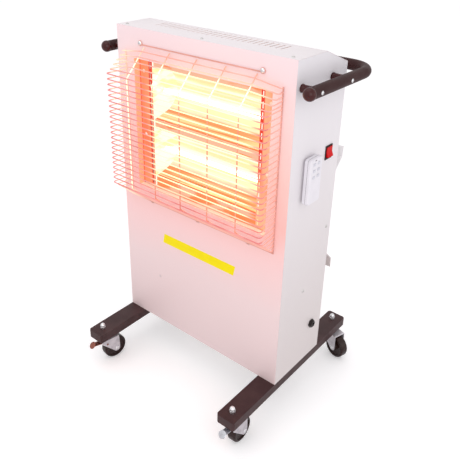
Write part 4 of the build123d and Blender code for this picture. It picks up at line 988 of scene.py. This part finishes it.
@dataclass
class Cabinet:
    """Sheet steel case: front, sides, folded roof, back and base, with its screws and receiver."""

    screw_size: Quad = (4.0, 2.2, 1.9, 6.0)
    roof_screw_x: Triple = (-220.0, 0.0, 220.0)
    roof_screw_depth: float = 14.0
    roof_face: float = 758.0
    side_face: float = 240.0
    rear_face: float = 185.0
    hook_face: float = 187.0
    plate_face: float = 17.0
    side_screws: tuple[Pair, ...] = ((90.0, 215.0), (167.0, 351.0))
    rear_screw_x: float = 231.0
    rear_screw_heights: Triple = (60.0, 380.0, 680.0)
    hook_screws: tuple[Pair, ...] = ((214.0, 453.0), (214.0, 292.0))
    plate_screw_x: float = 176.0
    plate_screw_heights: Pair = (509.0, 660.0)
    receiver: Pair = (-126.0, 138.0)

    def build(self) -> None:
        """Build and dress the case."""
        # the front panel's coat carries a painted pink glow
        for node, finish, edge in (("front_panel", GlowPaintedCoat(), 0.5), ("left_side_panel", WHITE_SIDE, 0.4),
                                   ("right_side_panel", WHITE_SIDE, 0.4), ("top_panel", WHITE_TOP, 0.4),
                                   ("back_panel", WHITE_BACK, 0.3), ("base_pan", WHITE_BACK, 0.3)):
            shop.softened(node, finish, "white_steel", edge)
        self.fit_receiver()
        self.fit_screws()

    def fit_receiver(self) -> None:
        """Receiver window: a shallow lens in the front, on its block behind the sheet."""
        outline = [(0, 0.8), (2.0, 0.76), (3.4, 0.6), (3.9, 0.3), (4.0, 0.0), (3.2, 0.0), (3.2, -6.0), (0, -6.0)]
        lens = lathe(outline, 24)
        put(lens, block(Vector((12, 10, 4)) * MM, Vector((0, 0, -3.25)) * MM, 0.3 * MM))
        lens.transform(ahead(self.receiver[0], 0, self.receiver[1]))
        shop.piece("receiver_lens", lens, LENS, "black_plastic", "receiver_window")

    def fit_screws(self) -> None:
        """Small cross-head screws on the roof, the sides, the back, the hooks and the end plates, those on the end
        plates with painted light.
        """
        up, behind = Vector((0, 0, 1)), Vector((0, 1, 0))
        seats = [facing(at(x, self.roof_screw_depth, self.roof_face + CLEAR), up) for x in self.roof_screw_x]
        for side in Side:
            seats += [side.seat(self.side_face + CLEAR, depth, height) for depth, height in self.side_screws]
            rear = side.value * self.rear_screw_x
            seats += [facing(at(rear, self.rear_face + CLEAR, height), behind) for height in self.rear_screw_heights]
        seats += [facing(at(x, self.hook_face + CLEAR, height), behind) for x, height in self.hook_screws]
        # the end plates' screws take a paler finish: painted light from the glow
        lit = [ahead(side.value * self.plate_screw_x, self.plate_face - CLEAR, height) for side in Side
               for height in self.plate_screw_heights]
        shop.piece("panel_screw_set", screws(self.screw_size, seats), ZINC, "zinc_steel", "panel_screws")
        shop.piece("plate_screw_set", screws(self.screw_size, lit), LIT_SCREW, "zinc_steel")


@dataclass
class Heater:
    """Two trough reflectors with a quartz lamp in each, between slotted end plates."""

    lower_middle: float = 466.0
    upper_middle: float = 610.0
    lamp_depth: float = 60.0
    tube_radius: float = 5.0
    tube_wall: float = 1.0
    tube_half_length: float = 168.0
    coil_radius: float = 1.1
    coil_wire_radius: float = 0.35
    coil_turns: int = 60
    turn_steps: int = 8
    coil_half_length: float = 150.0
    ledge_size: Triple = (372.0, 8.0, 0.7)
    ledge_depth: float = 21.1
    ledge_height: float = 378.75

    def build(self) -> None:
        """Build and dress the heater."""
        sheet = "bright_aluminium"
        for name, middle in (("upper", self.upper_middle), ("lower", self.lower_middle)):
            shop.softened(f"reflector_{name}", self.glow(name, middle), sheet, 0.0, crease=25.0)
            self.build_tube(name, middle)
        # the two end plates are one sheet painted lit differently: each has its own painted glow on its flange and
        # slots
        left = EndPlateGlow("end_plate_glow_left", tint(240, 144, 102), tint(220, 60, 40))
        right = EndPlateGlow("end_plate_glow_right", tint(250, 178, 136), tint(220, 52, 32), 0.56)
        shop.softened("end_plate_left", left, sheet, 0.2)
        shop.softened("end_plate_right", right, sheet, 0.2)
        shop.softened("lamp_end_caps", CERAMIC, "white_ceramic", 0.4)
        shop.softened("lamp_clips", ZINC, "zinc_steel", 0.15)
        self.wind_filaments()
        # the hem of the lower reflector, folded forward from its lip to the opening's edge
        hem = block(Vector(self.ledge_size) * MM, at(0, self.ledge_depth, self.ledge_height), 0.15 * MM)
        shop.piece("reflector_ledge", hem, self.glow("lower", self.lower_middle), sheet)

    def glow(self, name: str, middle: float) -> ReflectorGlow:
        """Finish of the upper or lower trough, whose middle is that high on the cabinet."""
        return ReflectorGlow(f"reflector_glow_{name}", (FOOT + middle) * MM)

    def build_tube(self, name: str, middle: float) -> None:
        """Quartz tube with fire-polished ends.

        Args:
            name: upper or lower.
            middle: the tube's height on the cabinet.
        """
        edge = self.tube_wall / 2
        centre, reach = self.tube_radius - edge, self.tube_half_length - edge
        outline = arc((centre, reach), edge, 180, 0, 6) + arc((centre, -reach), edge, 0, -180, 6)
        bm = lathe(outline + outline[:1], 32)
        bm.transform(Side.RIGHT.seat(0, self.lamp_depth, middle))
        shop.piece(f"quartz_{name}", bm, Quartz(), "quartz_glass", f"lamp_tube_{name}")

    def wind_filaments(self) -> None:
        """One long tungsten coil in each tube, with straight tails to the lamp's ends."""
        routes = []
        steps = self.coil_turns * self.turn_steps
        for middle in (self.lower_middle, self.upper_middle):
            route = [at(-self.tube_half_length, self.lamp_depth, middle)]
            for step in range(steps + 1):
                turn = math.tau * step / self.turn_steps
                route.append(at((2 * step / steps - 1) * self.coil_half_length,
                                self.lamp_depth + self.coil_radius * math.cos(turn),
                                middle + self.coil_radius * math.sin(turn)))
            routes.append(route + [at(self.tube_half_length, self.lamp_depth, middle)])
        coils = rods(routes, self.coil_wire_radius * MM, 4)
        shop.piece("filament_coils", coils, HotWire(), "glowing_filament", "lamp_filaments")


@dataclass
class WireGuard:
    """Welded wire guard: wires that return to the cabinet at both sides, on five uprights."""

    wire: float = 2.6
    sides: int = 10
    reach: float = 58.0
    half_width: float = 217.0
    frame_x: float = 213.0
    top: float = 722.0
    bottom: float = 347.0
    shoulder: float = 661.0
    heel: float = 397.0
    rows: int = 22
    knee_x: float = 153.0
    corner_dip: float = 9.0
    least_dip: float = 1.0
    corner_lean: float = 1.4
    uprights: int = 5
    roof_wires: int = 5
    heel_wires: int = 4
    corner_bend: float = 5.0
    least_bend: float = 0.5
    upright_bend: float = 7.0
    screw_x: float = 165.0
    screw_z: float = 726.0
    screw_seat: float = -2.3
    screw_size: Quad = (5.5, 3.4, 1.9, 10.0)
    eyelet_radius: float = 5.1
    weld_radius: float = 1.5
    weld_sink: float = 0.4
    frame_rise: float = 1.5
    tongue_x: Triple = (-146.0, 0.0, 146.0)
    tongue_length: float = 9.0

    def build(self) -> None:
        """Build and dress the guard and its screws."""
        places = self.wire_places()
        cross = self.wires([self.hoop(corner, knee) for corner, knee in places])
        for corner, knee in places:
            welds = [at(x, -knee[0] + self.wire / 2, knee[1]) for x in self.upright_places()]
            welds += [at(side.value * self.frame_x, self.weld_sink - self.wire, corner[1]) for side in Side]
            for weld in welds:
                bmesh.ops.create_icosphere(cross, subdivisions=1, radius=self.weld_radius * MM,
                                           matrix=Matrix.Translation(weld))
        routes = self.upright_routes()
        rim = self.wires(self.frame_routes())
        eyelets = [ahead(side.value * self.screw_x, -self.seat, self.screw_z) for side in Side]
        put(rim, copies(lambda: lathe(arc((self.eyelet_radius, 0), self.wire / 2, 0, 360, 10), 28), eyelets))
        # the wires' tints are painted light: rosy painted reflection of the glow, cream painted light before the
        # heater; the rim wires are painted a deeper rose with less painted glow, and the left upright is painted lit
        # over a wider span
        plain = GuardWire("cross_wire", tint(232, 152, 148), tint(214, 120, 118))
        outer = GuardWire("lit_upright_wire", tint(250, 214, 190), tint(244, 198, 170), tint(255, 238, 206), -0.30,
                          0.30, 0.500, 0.90, 0.26)
        inner = GuardWire("upright_wire", tint(232, 158, 128), tint(216, 132, 112), tint(255, 240, 218), -0.30, 0.30,
                          0.752, 0.90, 0.22)
        edge = GuardWire("rim_wire", tint(212, 118, 116), tint(190, 92, 90), glow=0.10)
        shop.piece("guard_wires", cross, plain, "plated_wire", "wire_guard", crease=60.0)
        for name, bm, finish in (("guard_left_upright", self.wires(routes[:1]), outer),
                                 ("guard_uprights", self.wires(routes[1:]), inner), ("guard_rim", rim, edge)):
            shop.piece(name, bm, finish, "plated_wire", crease=60.0)
        seats = [ahead(side.value * self.screw_x, self.screw_seat, self.screw_z) for side in Side]
        shop.piece("guard_screw_set", screws(self.screw_size, seats), BRIGHT, "zinc_steel", "guard_screws")

    @property
    def seat(self) -> float:
        """How far the wires on the cabinet's face stand off it."""
        return self.wire / 2 + CLEAR

    def wires(self, routes: list[Points]) -> Mesh:
        """Wires of the guard's thickness along routes."""
        return rods(routes, self.wire / 2 * MM, self.sides)

    def hoop(self, corner: Pair, knee: Pair) -> Points:
        """Route of one cross wire, bent at its corners and knees.

        Args:
            corner: how far forward the wire is at its corners, and its height there.
            knee: the same where it meets the outer uprights.

        Returns:
            The route.
        """
        points = [at(self.frame_x, -self.wire - 0.1, corner[1]), at(self.half_width, -corner[0], corner[1])]
        if corner != knee:
            points.append(at(self.knee_x, -knee[0], knee[1]))
        mirror = [Vector((-p.x, p.y, p.z)) for p in reversed(points)]
        bend = min(self.corner_bend, (corner[0] - self.wire) * 0.5)
        return rounded(points + mirror, max(bend, self.least_bend) * MM, 4)

    def wire_places(self) -> list[tuple[Pair, Pair]]:
        """Corner and knee of each cross wire, each as how far forward and how high it is.

        Returns:
            The places: the sloping roof's, the front's, then the sloping foot's.
        """
        places = []
        for number in range(1, self.roof_wires + 1):
            share = number / (self.roof_wires + 1)
            reach = self.seat + share * (self.reach - self.seat)
            height = self.top - share * (self.top - self.shoulder)
            dip = self.corner_dip * (1 - share) + self.least_dip
            places.append(((reach - self.corner_lean * (1 - share), height - dip), (reach, height)))
        pitch = (self.shoulder - self.heel) / (self.rows - 1)
        plain = [(self.reach, self.shoulder - number * pitch) for number in range(self.rows)]
        for number in range(1, self.heel_wires + 1):
            share = number / (self.heel_wires + 1)
            plain.append((self.reach - share * (self.reach - self.seat), self.heel - share * (self.heel - self.bottom)))
        return places + [(place, place) for place in plain]

    def upright_places(self) -> list[float]:
        """X of each upright."""
        return [-self.knee_x + number * 2 * self.knee_x / (self.uprights - 1) for number in range(self.uprights)]

    def upright_routes(self) -> list[Points]:
        """Routes of the uprights, which lean back to the cabinet at both ends.

        Returns:
            The routes, from the left.
        """
        front = self.reach - self.wire
        roof = math.atan2(self.top - self.shoulder, self.reach - self.seat)
        foot = math.atan2(self.heel - self.bottom, self.reach - self.seat)
        head, sole = self.top - self.wire / math.cos(roof), self.bottom + self.wire / math.cos(foot)
        lean = front - self.seat
        sides = [(self.seat, head), (front, head - lean * math.tan(roof)), (front, sole + lean * math.tan(foot)),
                 (self.seat, sole)]
        return [rounded([at(x, -reach, height) for reach, height in sides], self.upright_bend * MM, 5)
                for x in self.upright_places()]

    def frame_routes(self) -> list[Points]:
        """Routes of the top and bottom wires, the side wires and the tongues.

        Returns:
            The routes.
        """
        eye = self.screw_x - self.eyelet_radius
        sole = self.half_width - self.wire
        head = self.top - (self.top - self.shoulder) / (self.roof_wires + 1) - self.corner_dip + self.frame_rise
        routes = [[at(-end, -self.seat, height), at(end, -self.seat, height)]
                  for end, height in ((eye, self.top + self.frame_rise), (sole, self.bottom))]
        for side in Side:
            x = side.value * self.frame_x
            routes.append([at(x, -self.seat, self.bottom + self.wire), at(x, -self.seat, head)])
        low = self.bottom - self.wire
        return routes + [[at(x, -self.seat, low), at(x, self.tongue_length - self.seat, low)] for x in self.tongue_x]


@dataclass
class Handle:
    """Bent tube round the back of the cabinet, on four feet, with a domed cap at each end."""

    radius: float = 12.0
    half_width: float = 272.0
    height: float = 703.5
    rear: float = 240.0
    bend: float = 48.0
    front: float = -3.0
    fixings: Pair = (18.5, 128.5)
    foot_radius: float = 8.5
    foot_sink: float = 0.55
    cap_radius: float = 13.0
    cap_rim: float = 3.0
    cap_length: float = 14.0
    plug_radius: float = 10.0
    plug_length: float = 12.0
    cabinet_half: float = 240.0
    screw_size: Quad = (4.0, 2.2, 2.4, 62.0)

    def build(self) -> None:
        """Build and dress the handle."""
        corners = [(1, self.front), (1, self.rear), (-1, self.rear), (-1, self.front)]
        route = [at(sign * self.half_width, depth, self.height) for sign, depth in corners]
        tube = rods([rounded(route, self.bend * MM, 16)], self.radius * MM, 36)
        shop.piece("handle_bar", tube, HANDLE_PAINT, "brown_steel", "handle_tube")
        caps = copies(self.cap, [ahead(side.value * self.half_width, self.front, self.height) for side in Side])
        shop.piece("handle_caps", caps, CAP_PLASTIC, "brown_plastic", "handle_end_caps", crease=50.0)
        feet = copies(self.foot, self.seats(self.cabinet_half))
        shop.piece("handle_feet", feet, CAP_PLASTIC, "brown_plastic", "handle_spacers", crease=50.0)
        long_screws = screws(self.screw_size, self.seats(self.half_width + self.radius + CLEAR))
        shop.piece("handle_screw_set", long_screws, BRIGHT, "zinc_steel", "handle_screws")

    def seats(self, x: float) -> list[Matrix]:
        """Places of the four fixings, that far out to each side."""
        return [side.seat(x, depth, self.height) for side in Side for depth in self.fixings]

    def cap(self) -> Mesh:
        """Domed cap with a rim that stands proud of the tube and a plug inside it.

        Returns:
            The cap's mesh.
        """
        top = [(0.0, self.cap_length)] + dome(self.cap_radius, self.cap_rim, self.cap_length - self.cap_rim, 10)[::-1]
        rim = [(self.cap_radius, self.cap_rim), (self.cap_radius, 0.6), (self.cap_radius - 0.5, 0.0)]
        plug = [(self.plug_radius, 0.0), (self.plug_radius, -self.plug_length), (0, -self.plug_length)]
        return lathe(top + rim + plug, 40)

    def foot(self) -> Mesh:
        """Round stand-off foot between the tube and the cabinet.

        Returns:
            The foot's mesh.
        """
        radius = self.foot_radius
        reach = self.half_width - self.cabinet_half - self.radius * self.foot_sink
        return lathe([(0, 0), (radius - 0.6, 0), (radius, 0.6), (radius, 3.0), (radius - 0.8, 5.0),
                      (radius - 0.9, 14.0), (radius - 0.4, reach), (0, reach)], 32)


@dataclass
class Controls:
    """Rocker switch, remote control on its bracket, and the electrical parts inside."""

    remote_depth: float = 66.5
    remote_height: float = 505.0
    remote_size: Triple = (14.5, 45.0, 100.0)
    remote_back: float = 244.5
    corner: float = 7.0
    seam: float = 7.2
    seam_gap: float = 0.5
    seam_proud: float = 0.12
    light_size: Triple = (0.3, 5.0, 1.6)
    light_offset: Pair = (-4.0, 46.0)

    def build(self) -> None:
        """Build and dress the controls."""
        shop.softened("switch_housing", BLACK_PLASTIC, "black_plastic", 0.5)
        shop.softened("rocker", ROCKER_PLASTIC, "red_plastic", 0.6, 3)
        shop.softened("remote_cradle", WHITE_PLASTIC, "white_plastic", 0.5)
        shop.softened("remote_battery_door", WHITE_PLASTIC, "white_plastic", 0.15)
        for number in range(1, 7):
            shop.softened(f"remote_key_{number}", KEY_RUBBER, "grey_rubber", 0.5, 3)
        self.build_remote()
        shop.softened("control_board", BoardLacquer(), "green_board", 0.0)
        shop.softened("terminal_block", CERAMIC, "white_ceramic", 0.3)
        shop.softened("tip_over_switch", BLACK_PLASTIC, "black_plastic", 0.3)

    def build_remote(self) -> None:
        """Case with its seam, and the small light at its head."""
        shop.softened("remote_case", WHITE_PLASTIC, "white_plastic", 0.8, 3)
        thick, wide, long = self.remote_size
        across, up = self.light_offset
        place = at(self.remote_back + thick + CLEAR, self.remote_depth + across, self.remote_height + up)
        light = block(Vector(self.light_size) * MM, place, 0.1 * MM)
        shop.piece("remote_light", light, LED_LENS, "white_plastic", body="remote")
        seam = cube(Vector((self.seam_gap, wide + self.seam_proud, long + self.seam_proud)) * MM,
                    at(self.remote_back + self.seam, self.remote_depth, self.remote_height))
        along = [e for e in seam.edges if abs((e.verts[0].co - e.verts[1].co).normalized().x) > 0.9]
        ease(seam, along, self.corner * MM, 6)
        shop.piece("remote_seam", seam, SHELL_SHADOW, "white_plastic", body="remote")


@dataclass
class CableParts:
    """Cable gland with its locknut, and the hooks for winding up the cable."""

    def build(self) -> None:
        """Build and dress the cable's parts."""
        shop.softened("cable_gland", BLACK_PLASTIC, "black_plastic", 0.5)
        shop.softened("gland_locknut", BLACK_PLASTIC, "black_plastic", 0.3)
        shop.softened("cord_hooks", WHITE_HOOK, "white_steel", 0.5)


@dataclass
class Base:
    """Two box-section legs with their caps, bolts and dome nuts."""

    leg_x: float = 216.0
    stud_depths: Pair = (-125.5, 301.5)
    nut_radius: float = 7.6
    collar: float = 6.5
    dome_radius: float = 6.2
    dome_foot: float = 8.6
    dome_height: float = 15.0

    def build(self) -> None:
        """Build and dress the base."""
        for side in ("left", "right"):
            shop.softened(f"leg_{side}", LEG_PAINT, "brown_steel", 0.3, crease=40.0)
        shop.softened("leg_end_caps", LEG_PAINT, "brown_plastic", 0.5, crease=30.0)
        shop.softened("leg_screws", ZINC, "zinc_steel", 0.3)
        studs = copies(self.stud, self.seats(-FOOT))
        shop.piece("castor_stud_set", studs, FORK_ZINC, "zinc_steel", "castor_studs", crease=50.0)
        shop.piece("dome_nut_set", copies(self.nut, self.seats(CLEAR)), BRIGHT, "bright_nut", "dome_nuts")

    def seats(self, height: float) -> list[Matrix]:
        """Places over the castors' swivel axes, that high on the cabinet."""
        return [Matrix.Translation(at(side.value * self.leg_x, depth, height)) for side in Side
                for depth in self.stud_depths]

    def stud(self) -> Mesh:
        """Castor stud: a flange under the leg, the rounded ball race, the stud and the kingpin.

        Returns:
            The stud's mesh.
        """
        return lathe([(0, 108.5), (3.6, 108.5), (4.0, 108.1), (4.0, 79.0), (15.6, 79.0), (16.0, 78.7), (16.0, 78.2),
                      (15.6, 77.9), (12.0, 77.9), (12.0, 77.2), (16.4, 77.0), (17.5, 76.4), (18.0, 75.4), (17.6, 74.2),
                      (16.4, 73.3), (4.0, 73.3), (4.0, 67.7), (6.4, 67.7), (7.0, 67.2), (7.0, 65.5), (0, 65.5)], 40)

    def nut(self) -> Mesh:
        """Dome nut: a hexagon with chamfered corners under a round dome.

        Returns:
            The nut's mesh.
        """
        nut = bmesh.new()
        bmesh.ops.create_cone(nut, cap_ends=True, segments=6, radius1=self.nut_radius * MM,
                              radius2=self.nut_radius * MM, depth=self.collar * MM,
                              matrix=Matrix.Translation((0, 0, self.collar / 2 * MM)))
        ease(nut, nut.edges[:], 0.6 * MM, 2)
        crown = dome(self.dome_radius, self.dome_foot, self.dome_height - self.dome_foot, 8)
        foot = [(0, 0.2), (self.dome_radius, 0.2), (self.dome_radius, self.dome_foot)]
        put(nut, lathe(foot + crown + [(0, self.dome_height)], 32))
        return nut


@dataclass
class Castor:
    """Twin-fork swivel castor: fork, axle and wheel, with a brake pedal on the front two."""

    corner: Corner
    wheel_radius: float = 31.5
    tread: float = 4.5
    half_width: float = 11.0
    trail: float = 28.0
    rim: float = 24.5
    hub: float = 9.5
    hub_half_width: float = 14.7
    bore: float = 4.06
    dish: float = 3.0
    fork_half_width: float = 17.0
    fork_sheet: float = 2.0
    fork_top: float = 70.0
    fork_tip: float = 9.0
    cheek_rear: float = -15.0
    cheek_front: float = 36.0
    shoulder: float = 1.8
    pedal_pivot: Triple = (0.0, 0.0, 58.0)
    pedal_tab: Triple = (-34.9, 0.0, 64.0)
    arm_section: Pair = (15.0, 2.5)

    def build(self) -> None:
        """Build and dress the castor."""
        turn = math.radians(self.corner.value)
        low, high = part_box(f"wheel_{self.name}")
        middle = (Vector(low) + Vector(high)) / 2
        back = Vector((math.cos(turn), math.sin(turn), 0)) * self.trail * MM
        place = Matrix.Translation((middle.x - back.x, middle.y - back.y, 0)) @ Matrix.Rotation(turn, 4, "Z")
        self.fit("fork", self.fork(), FORK_ZINC, place)
        self.fit("axle", self.axle(), BRIGHT, place)
        if self.corner in (Corner.FRONT_LEFT, Corner.FRONT_RIGHT):
            # the front left pedal is zinc with a painted brown reflection
            coat = PEDAL_BROWN_REFLECTION if self.corner is Corner.FRONT_LEFT else PEDAL_ZINC
            self.fit("brake_pedal", self.pedal(), coat, place)
        axis = Vector((-math.sin(turn), math.cos(turn), 0))
        self.fit("wheel", self.wheel(), WHEEL_PLASTIC, facing(middle, axis), "brown_plastic")

    @property
    def name(self) -> str:
        """The corner's name as it ends the names of the castor's nodes."""
        return self.corner.name.lower()

    def fit(self, part: str, bm: Mesh, finish: Finish, place: Matrix, slot: str = "zinc_steel") -> None:
        """Seat one of the castor's parts.

        Args:
            part: the part's name without the corner.
            bm: its mesh.
            finish: its finish.
            place: where it goes.
            slot: the record's material slot.
        """
        node = f"{part}_{self.name}"
        bm.transform(place)
        shop.piece(f"{node}_shape", bm, finish, slot, node, body=shop.body_of(node), crease=40.0)

    def fork(self) -> Mesh:
        """Pressed fork: two cheeks under a roof with rounded shoulders, and the lower half of the race.

        Returns:
            The fork's mesh.
        """
        half, sheet, top = self.fork_half_width, self.fork_sheet, self.fork_top
        tip = arc((self.trail, self.wheel_radius), self.fork_tip, 212, 360, 10)
        rear, front = self.cheek_rear, self.cheek_front
        cheek = [(rear, top - sheet), (rear, top - 6.5)] + tip + [(front, top - 6.0), (front, top - sheet)]
        bm = plate(cheek, half - sheet, half)
        put(bm, plate(cheek, -half, sheet - half))
        roof = cube(Vector((front - rear, 2 * half, sheet)) * MM, Vector(((front + rear) / 2, 0, top - sheet / 2)) * MM)
        upper = [e for e in roof.edges if all(v.co.z > (top - 0.1) * MM for v in e.verts)]
        ease(roof, upper, self.shoulder * MM, 4)
        put(bm, roof)
        cup = [(4.1, -1.0), (15.2, -1.0), (15.8, 0.6), (16.0, 1.6), (15.6, 2.6), (14.8, 3.0), (4.1, 3.0), (4.1, -1.0)]
        put(bm, lathe([(radius, top + height) for radius, height in cup], 40))
        return bm

    def axle(self) -> Mesh:
        """Riveted axle through the fork and the wheel.

        Returns:
            The axle's mesh.
        """
        reach = self.fork_half_width + CLEAR
        head = [(0, reach + 2.0), (3.2, reach + 1.9), (4.8, reach + 1.4), (5.6, reach + 0.5), (5.6, reach),
                (4.0, reach)]
        bm = lathe(head + [(radius, -height) for radius, height in reversed(head)], 28)
        bm.transform(facing(Vector((self.trail, 0, self.wheel_radius)) * MM, Vector((0, 1, 0))))
        return bm

    def pedal(self) -> Mesh:
        """Brake pedal: a round pressed tab on its arm, with the cam and the pin behind it.

        Returns:
            The pedal's mesh.
        """
        pivot, tab = Vector(self.pedal_pivot), Vector(self.pedal_tab)
        arm = block(Vector(((pivot - tab).length, *self.arm_section)) * MM, Vector((0, 0, 0)), 0.5 * MM)
        slope = Matrix.Rotation(math.atan2(tab.z - pivot.z, -tab.x), 4, "Y")
        arm.transform(Matrix.Translation((pivot + tab) / 2 * MM) @ slope)
        disc = [(0, 1.25), (3.5, 1.15), (6.5, 0.85), (8.6, 0.3), (9.4, -0.3), (9.5, -0.7), (9.0, -1.25), (0, -1.25)]
        put(arm, lathe(disc, 36), facing(tab * MM, Vector((-1, 0, 1))))
        cam = arc((0, 58.0), 4.2, -3, 232, 10) + arc((2.0, 53.7), 2.0, 232, 357, 6)
        put(arm, plate(cam, -7.5, 7.5))
        pin = lathe([(0, 18.0), (2.1, 18.0), (2.5, 17.6), (2.5, -17.6), (2.1, -18.0), (0, -18.0)], 20)
        put(arm, pin, facing(pivot * MM, Vector((0, 1, 0))))
        return arm

    def wheel(self) -> Mesh:
        """Wheel with a rounded tread, a dished face and a hub.

        Returns:
            The wheel's mesh, about the Z axis.
        """
        half, floor = self.half_width, self.half_width - self.dish
        face = [(self.bore, self.hub_half_width), (self.hub - 0.8, self.hub_half_width),
                (self.hub, self.hub_half_width - 0.8), (self.hub + 0.5, floor + 0.6), (self.hub + 1.2, floor),
                (self.rim - 1.6, floor), (self.rim - 0.9, floor + 0.4), (self.rim - 0.3, half - 0.6),
                (self.rim + 0.4, half - 0.2), (self.rim + 0.9, half)]
        face += arc((self.wheel_radius - self.tread, half - self.tread), self.tread, 90, 0, 6)
        return lathe(face + [(self.wheel_radius, 0.0)] + [(r, -z) for r, z in reversed(face)] + face[:1], 56)


@dataclass
class FrontBand:
    """Plain yellow vinyl band on the front panel, cut slanting at both ends."""

    left: float = -107.0
    right: float = 114.0
    bottom: float = 244.5
    top: float = 270.0
    slant: float = 5.0
    thickness: float = 0.15

    def build(self) -> None:
        """Build and dress the band."""
        corners = [at(self.left - self.slant, 0, self.bottom), at(self.right - self.slant, 0, self.bottom),
                   at(self.right, 0, self.top), at(self.left, 0, self.top)]
        shop.piece("front_band", slab(corners, Vector((0, -self.thickness * MM, 0))), VINYL, "white_steel")


@dataclass
class Studio:
    """Pale floor, soft light from all round, and the camera at the photograph's place."""

    camera_place: Triple = (0.7984, -0.9693, 1.1148)
    azimuth: float = 39.06
    elevation: float = 25.71
    roll: float = 1.21
    lens: float = 46.61
    shift: Pair = (0.0133, -0.0976)
    sky: float = 0.84
    key: float = 10.5
    top: float = 6.0
    fill: float = 5.0
    lamp_size: float = 1.8
    target: Triple = (0.0, 0.0, 0.45)

    def build(self) -> None:
        """Build the studio."""
        self.lay_floor()
        self.light_sky()
        self.lamp("key_light", (1.6, -1.9, 1.5), self.key)
        self.lamp("top_light", (-0.3, -0.6, 2.4), self.top)
        self.lamp("side_light", (2.6, 0.5, 1.1), self.fill)
        self.set_camera()

    def lay_floor(self) -> None:
        """Floor that shows white to the camera and keeps the heater's shadow."""
        bm = bmesh.new()
        bmesh.ops.create_grid(bm, x_segments=1, y_segments=1, size=8.0)
        mesh = settled("floor", bm)
        shader = Shader("pale_floor")
        shade = shader.mix(shader.noise(3.0), tint(250, 250, 250), tint(252, 252, 252))
        shader.finish(Base_Color=shade, Roughness=0.9, Specular_IOR_Level=0.0)
        seen = shader.node("LightPath", {}, "Is Camera Ray")
        lift = shader.node("Emission", {"Strength": shader.times(seen, 0.22)})
        both = shader.node("AddShader", {0: shader.surface.outputs[0], 1: lift})
        shader.join(both, shader.tree.nodes["Material Output"].inputs["Surface"])
        mesh.materials.append(shader.material)
        floor = stand("floor", mesh)

    def light_sky(self) -> None:
        """Even light from all round, seen as plain white by the camera and in reflections."""
        world = bpy.data.worlds.new("studio")
        bpy.context.scene.world = world
        world.use_nodes = True
        graph = Graph(world.node_tree)
        shown = graph.tree.nodes["Background"]
        graph.join((1, 1, 1, 1), shown.inputs["Color"])
        graph.join(1.0, shown.inputs["Strength"])
        lighting = graph.node("Background", {"Color": tint(255, 252, 254), "Strength": self.sky})
        camera, glass, gloss = (graph.node("LightPath", {}, f"Is {kind} Ray")
                                for kind in ("Camera", "Transmission", "Glossy"))
        seen = graph.sum("MAXIMUM", graph.sum("MAXIMUM", camera, glass), gloss)
        mixed = graph.node("MixShader", {0: seen, 1: lighting, 2: shown.outputs[0]})
        graph.join(mixed, graph.tree.nodes["World Output"].inputs["Surface"])

    def lamp(self, name: str, place: Triple, power: float) -> None:
        """Square soft light that points at the heater.

        Args:
            name: the light's name.
            place: where it stands.
            power: its power in watts.
        """
        data = bpy.data.lights.new(name, "AREA")
        data.size = self.lamp_size
        data.energy = power
        made = stand(name, data)
        made.location = place
        made.rotation_euler = (Vector(self.target) - Vector(place)).to_track_quat("-Z", "Y").to_euler()

    def set_camera(self) -> None:
        """Camera at the photograph's place and angle."""
        data = bpy.data.cameras.new("camera")
        data.sensor_width = 36.0
        data.lens = self.lens
        data.shift_x, data.shift_y = self.shift
        data.clip_end = 50.0
        made = stand("camera", data)
        turned = (Matrix.Rotation(math.radians(self.azimuth), 4, "Z")
                  @ Matrix.Rotation(math.radians(90 - self.elevation), 4, "X")
                  @ Matrix.Rotation(math.radians(self.roll), 4, "Z"))
        made.matrix_world = Matrix.Translation(self.camera_place) @ turned
        bpy.context.scene.camera = made


def main() -> None:
    """Build the heater's sub-assemblies in order, then the studio."""
    logging.basicConfig(level=logging.INFO, format="%(name)s %(message)s")
    parts = [Cabinet(), Heater(), WireGuard(), Handle(), Controls(), CableParts(), Base(), FrontBand()]
    for part in parts + [Castor(corner) for corner in Corner] + [Studio()]:
        part.build()
    bpy.context.scene.view_settings.view_transform = "Standard"


if __name__ == "__main__":
    main()
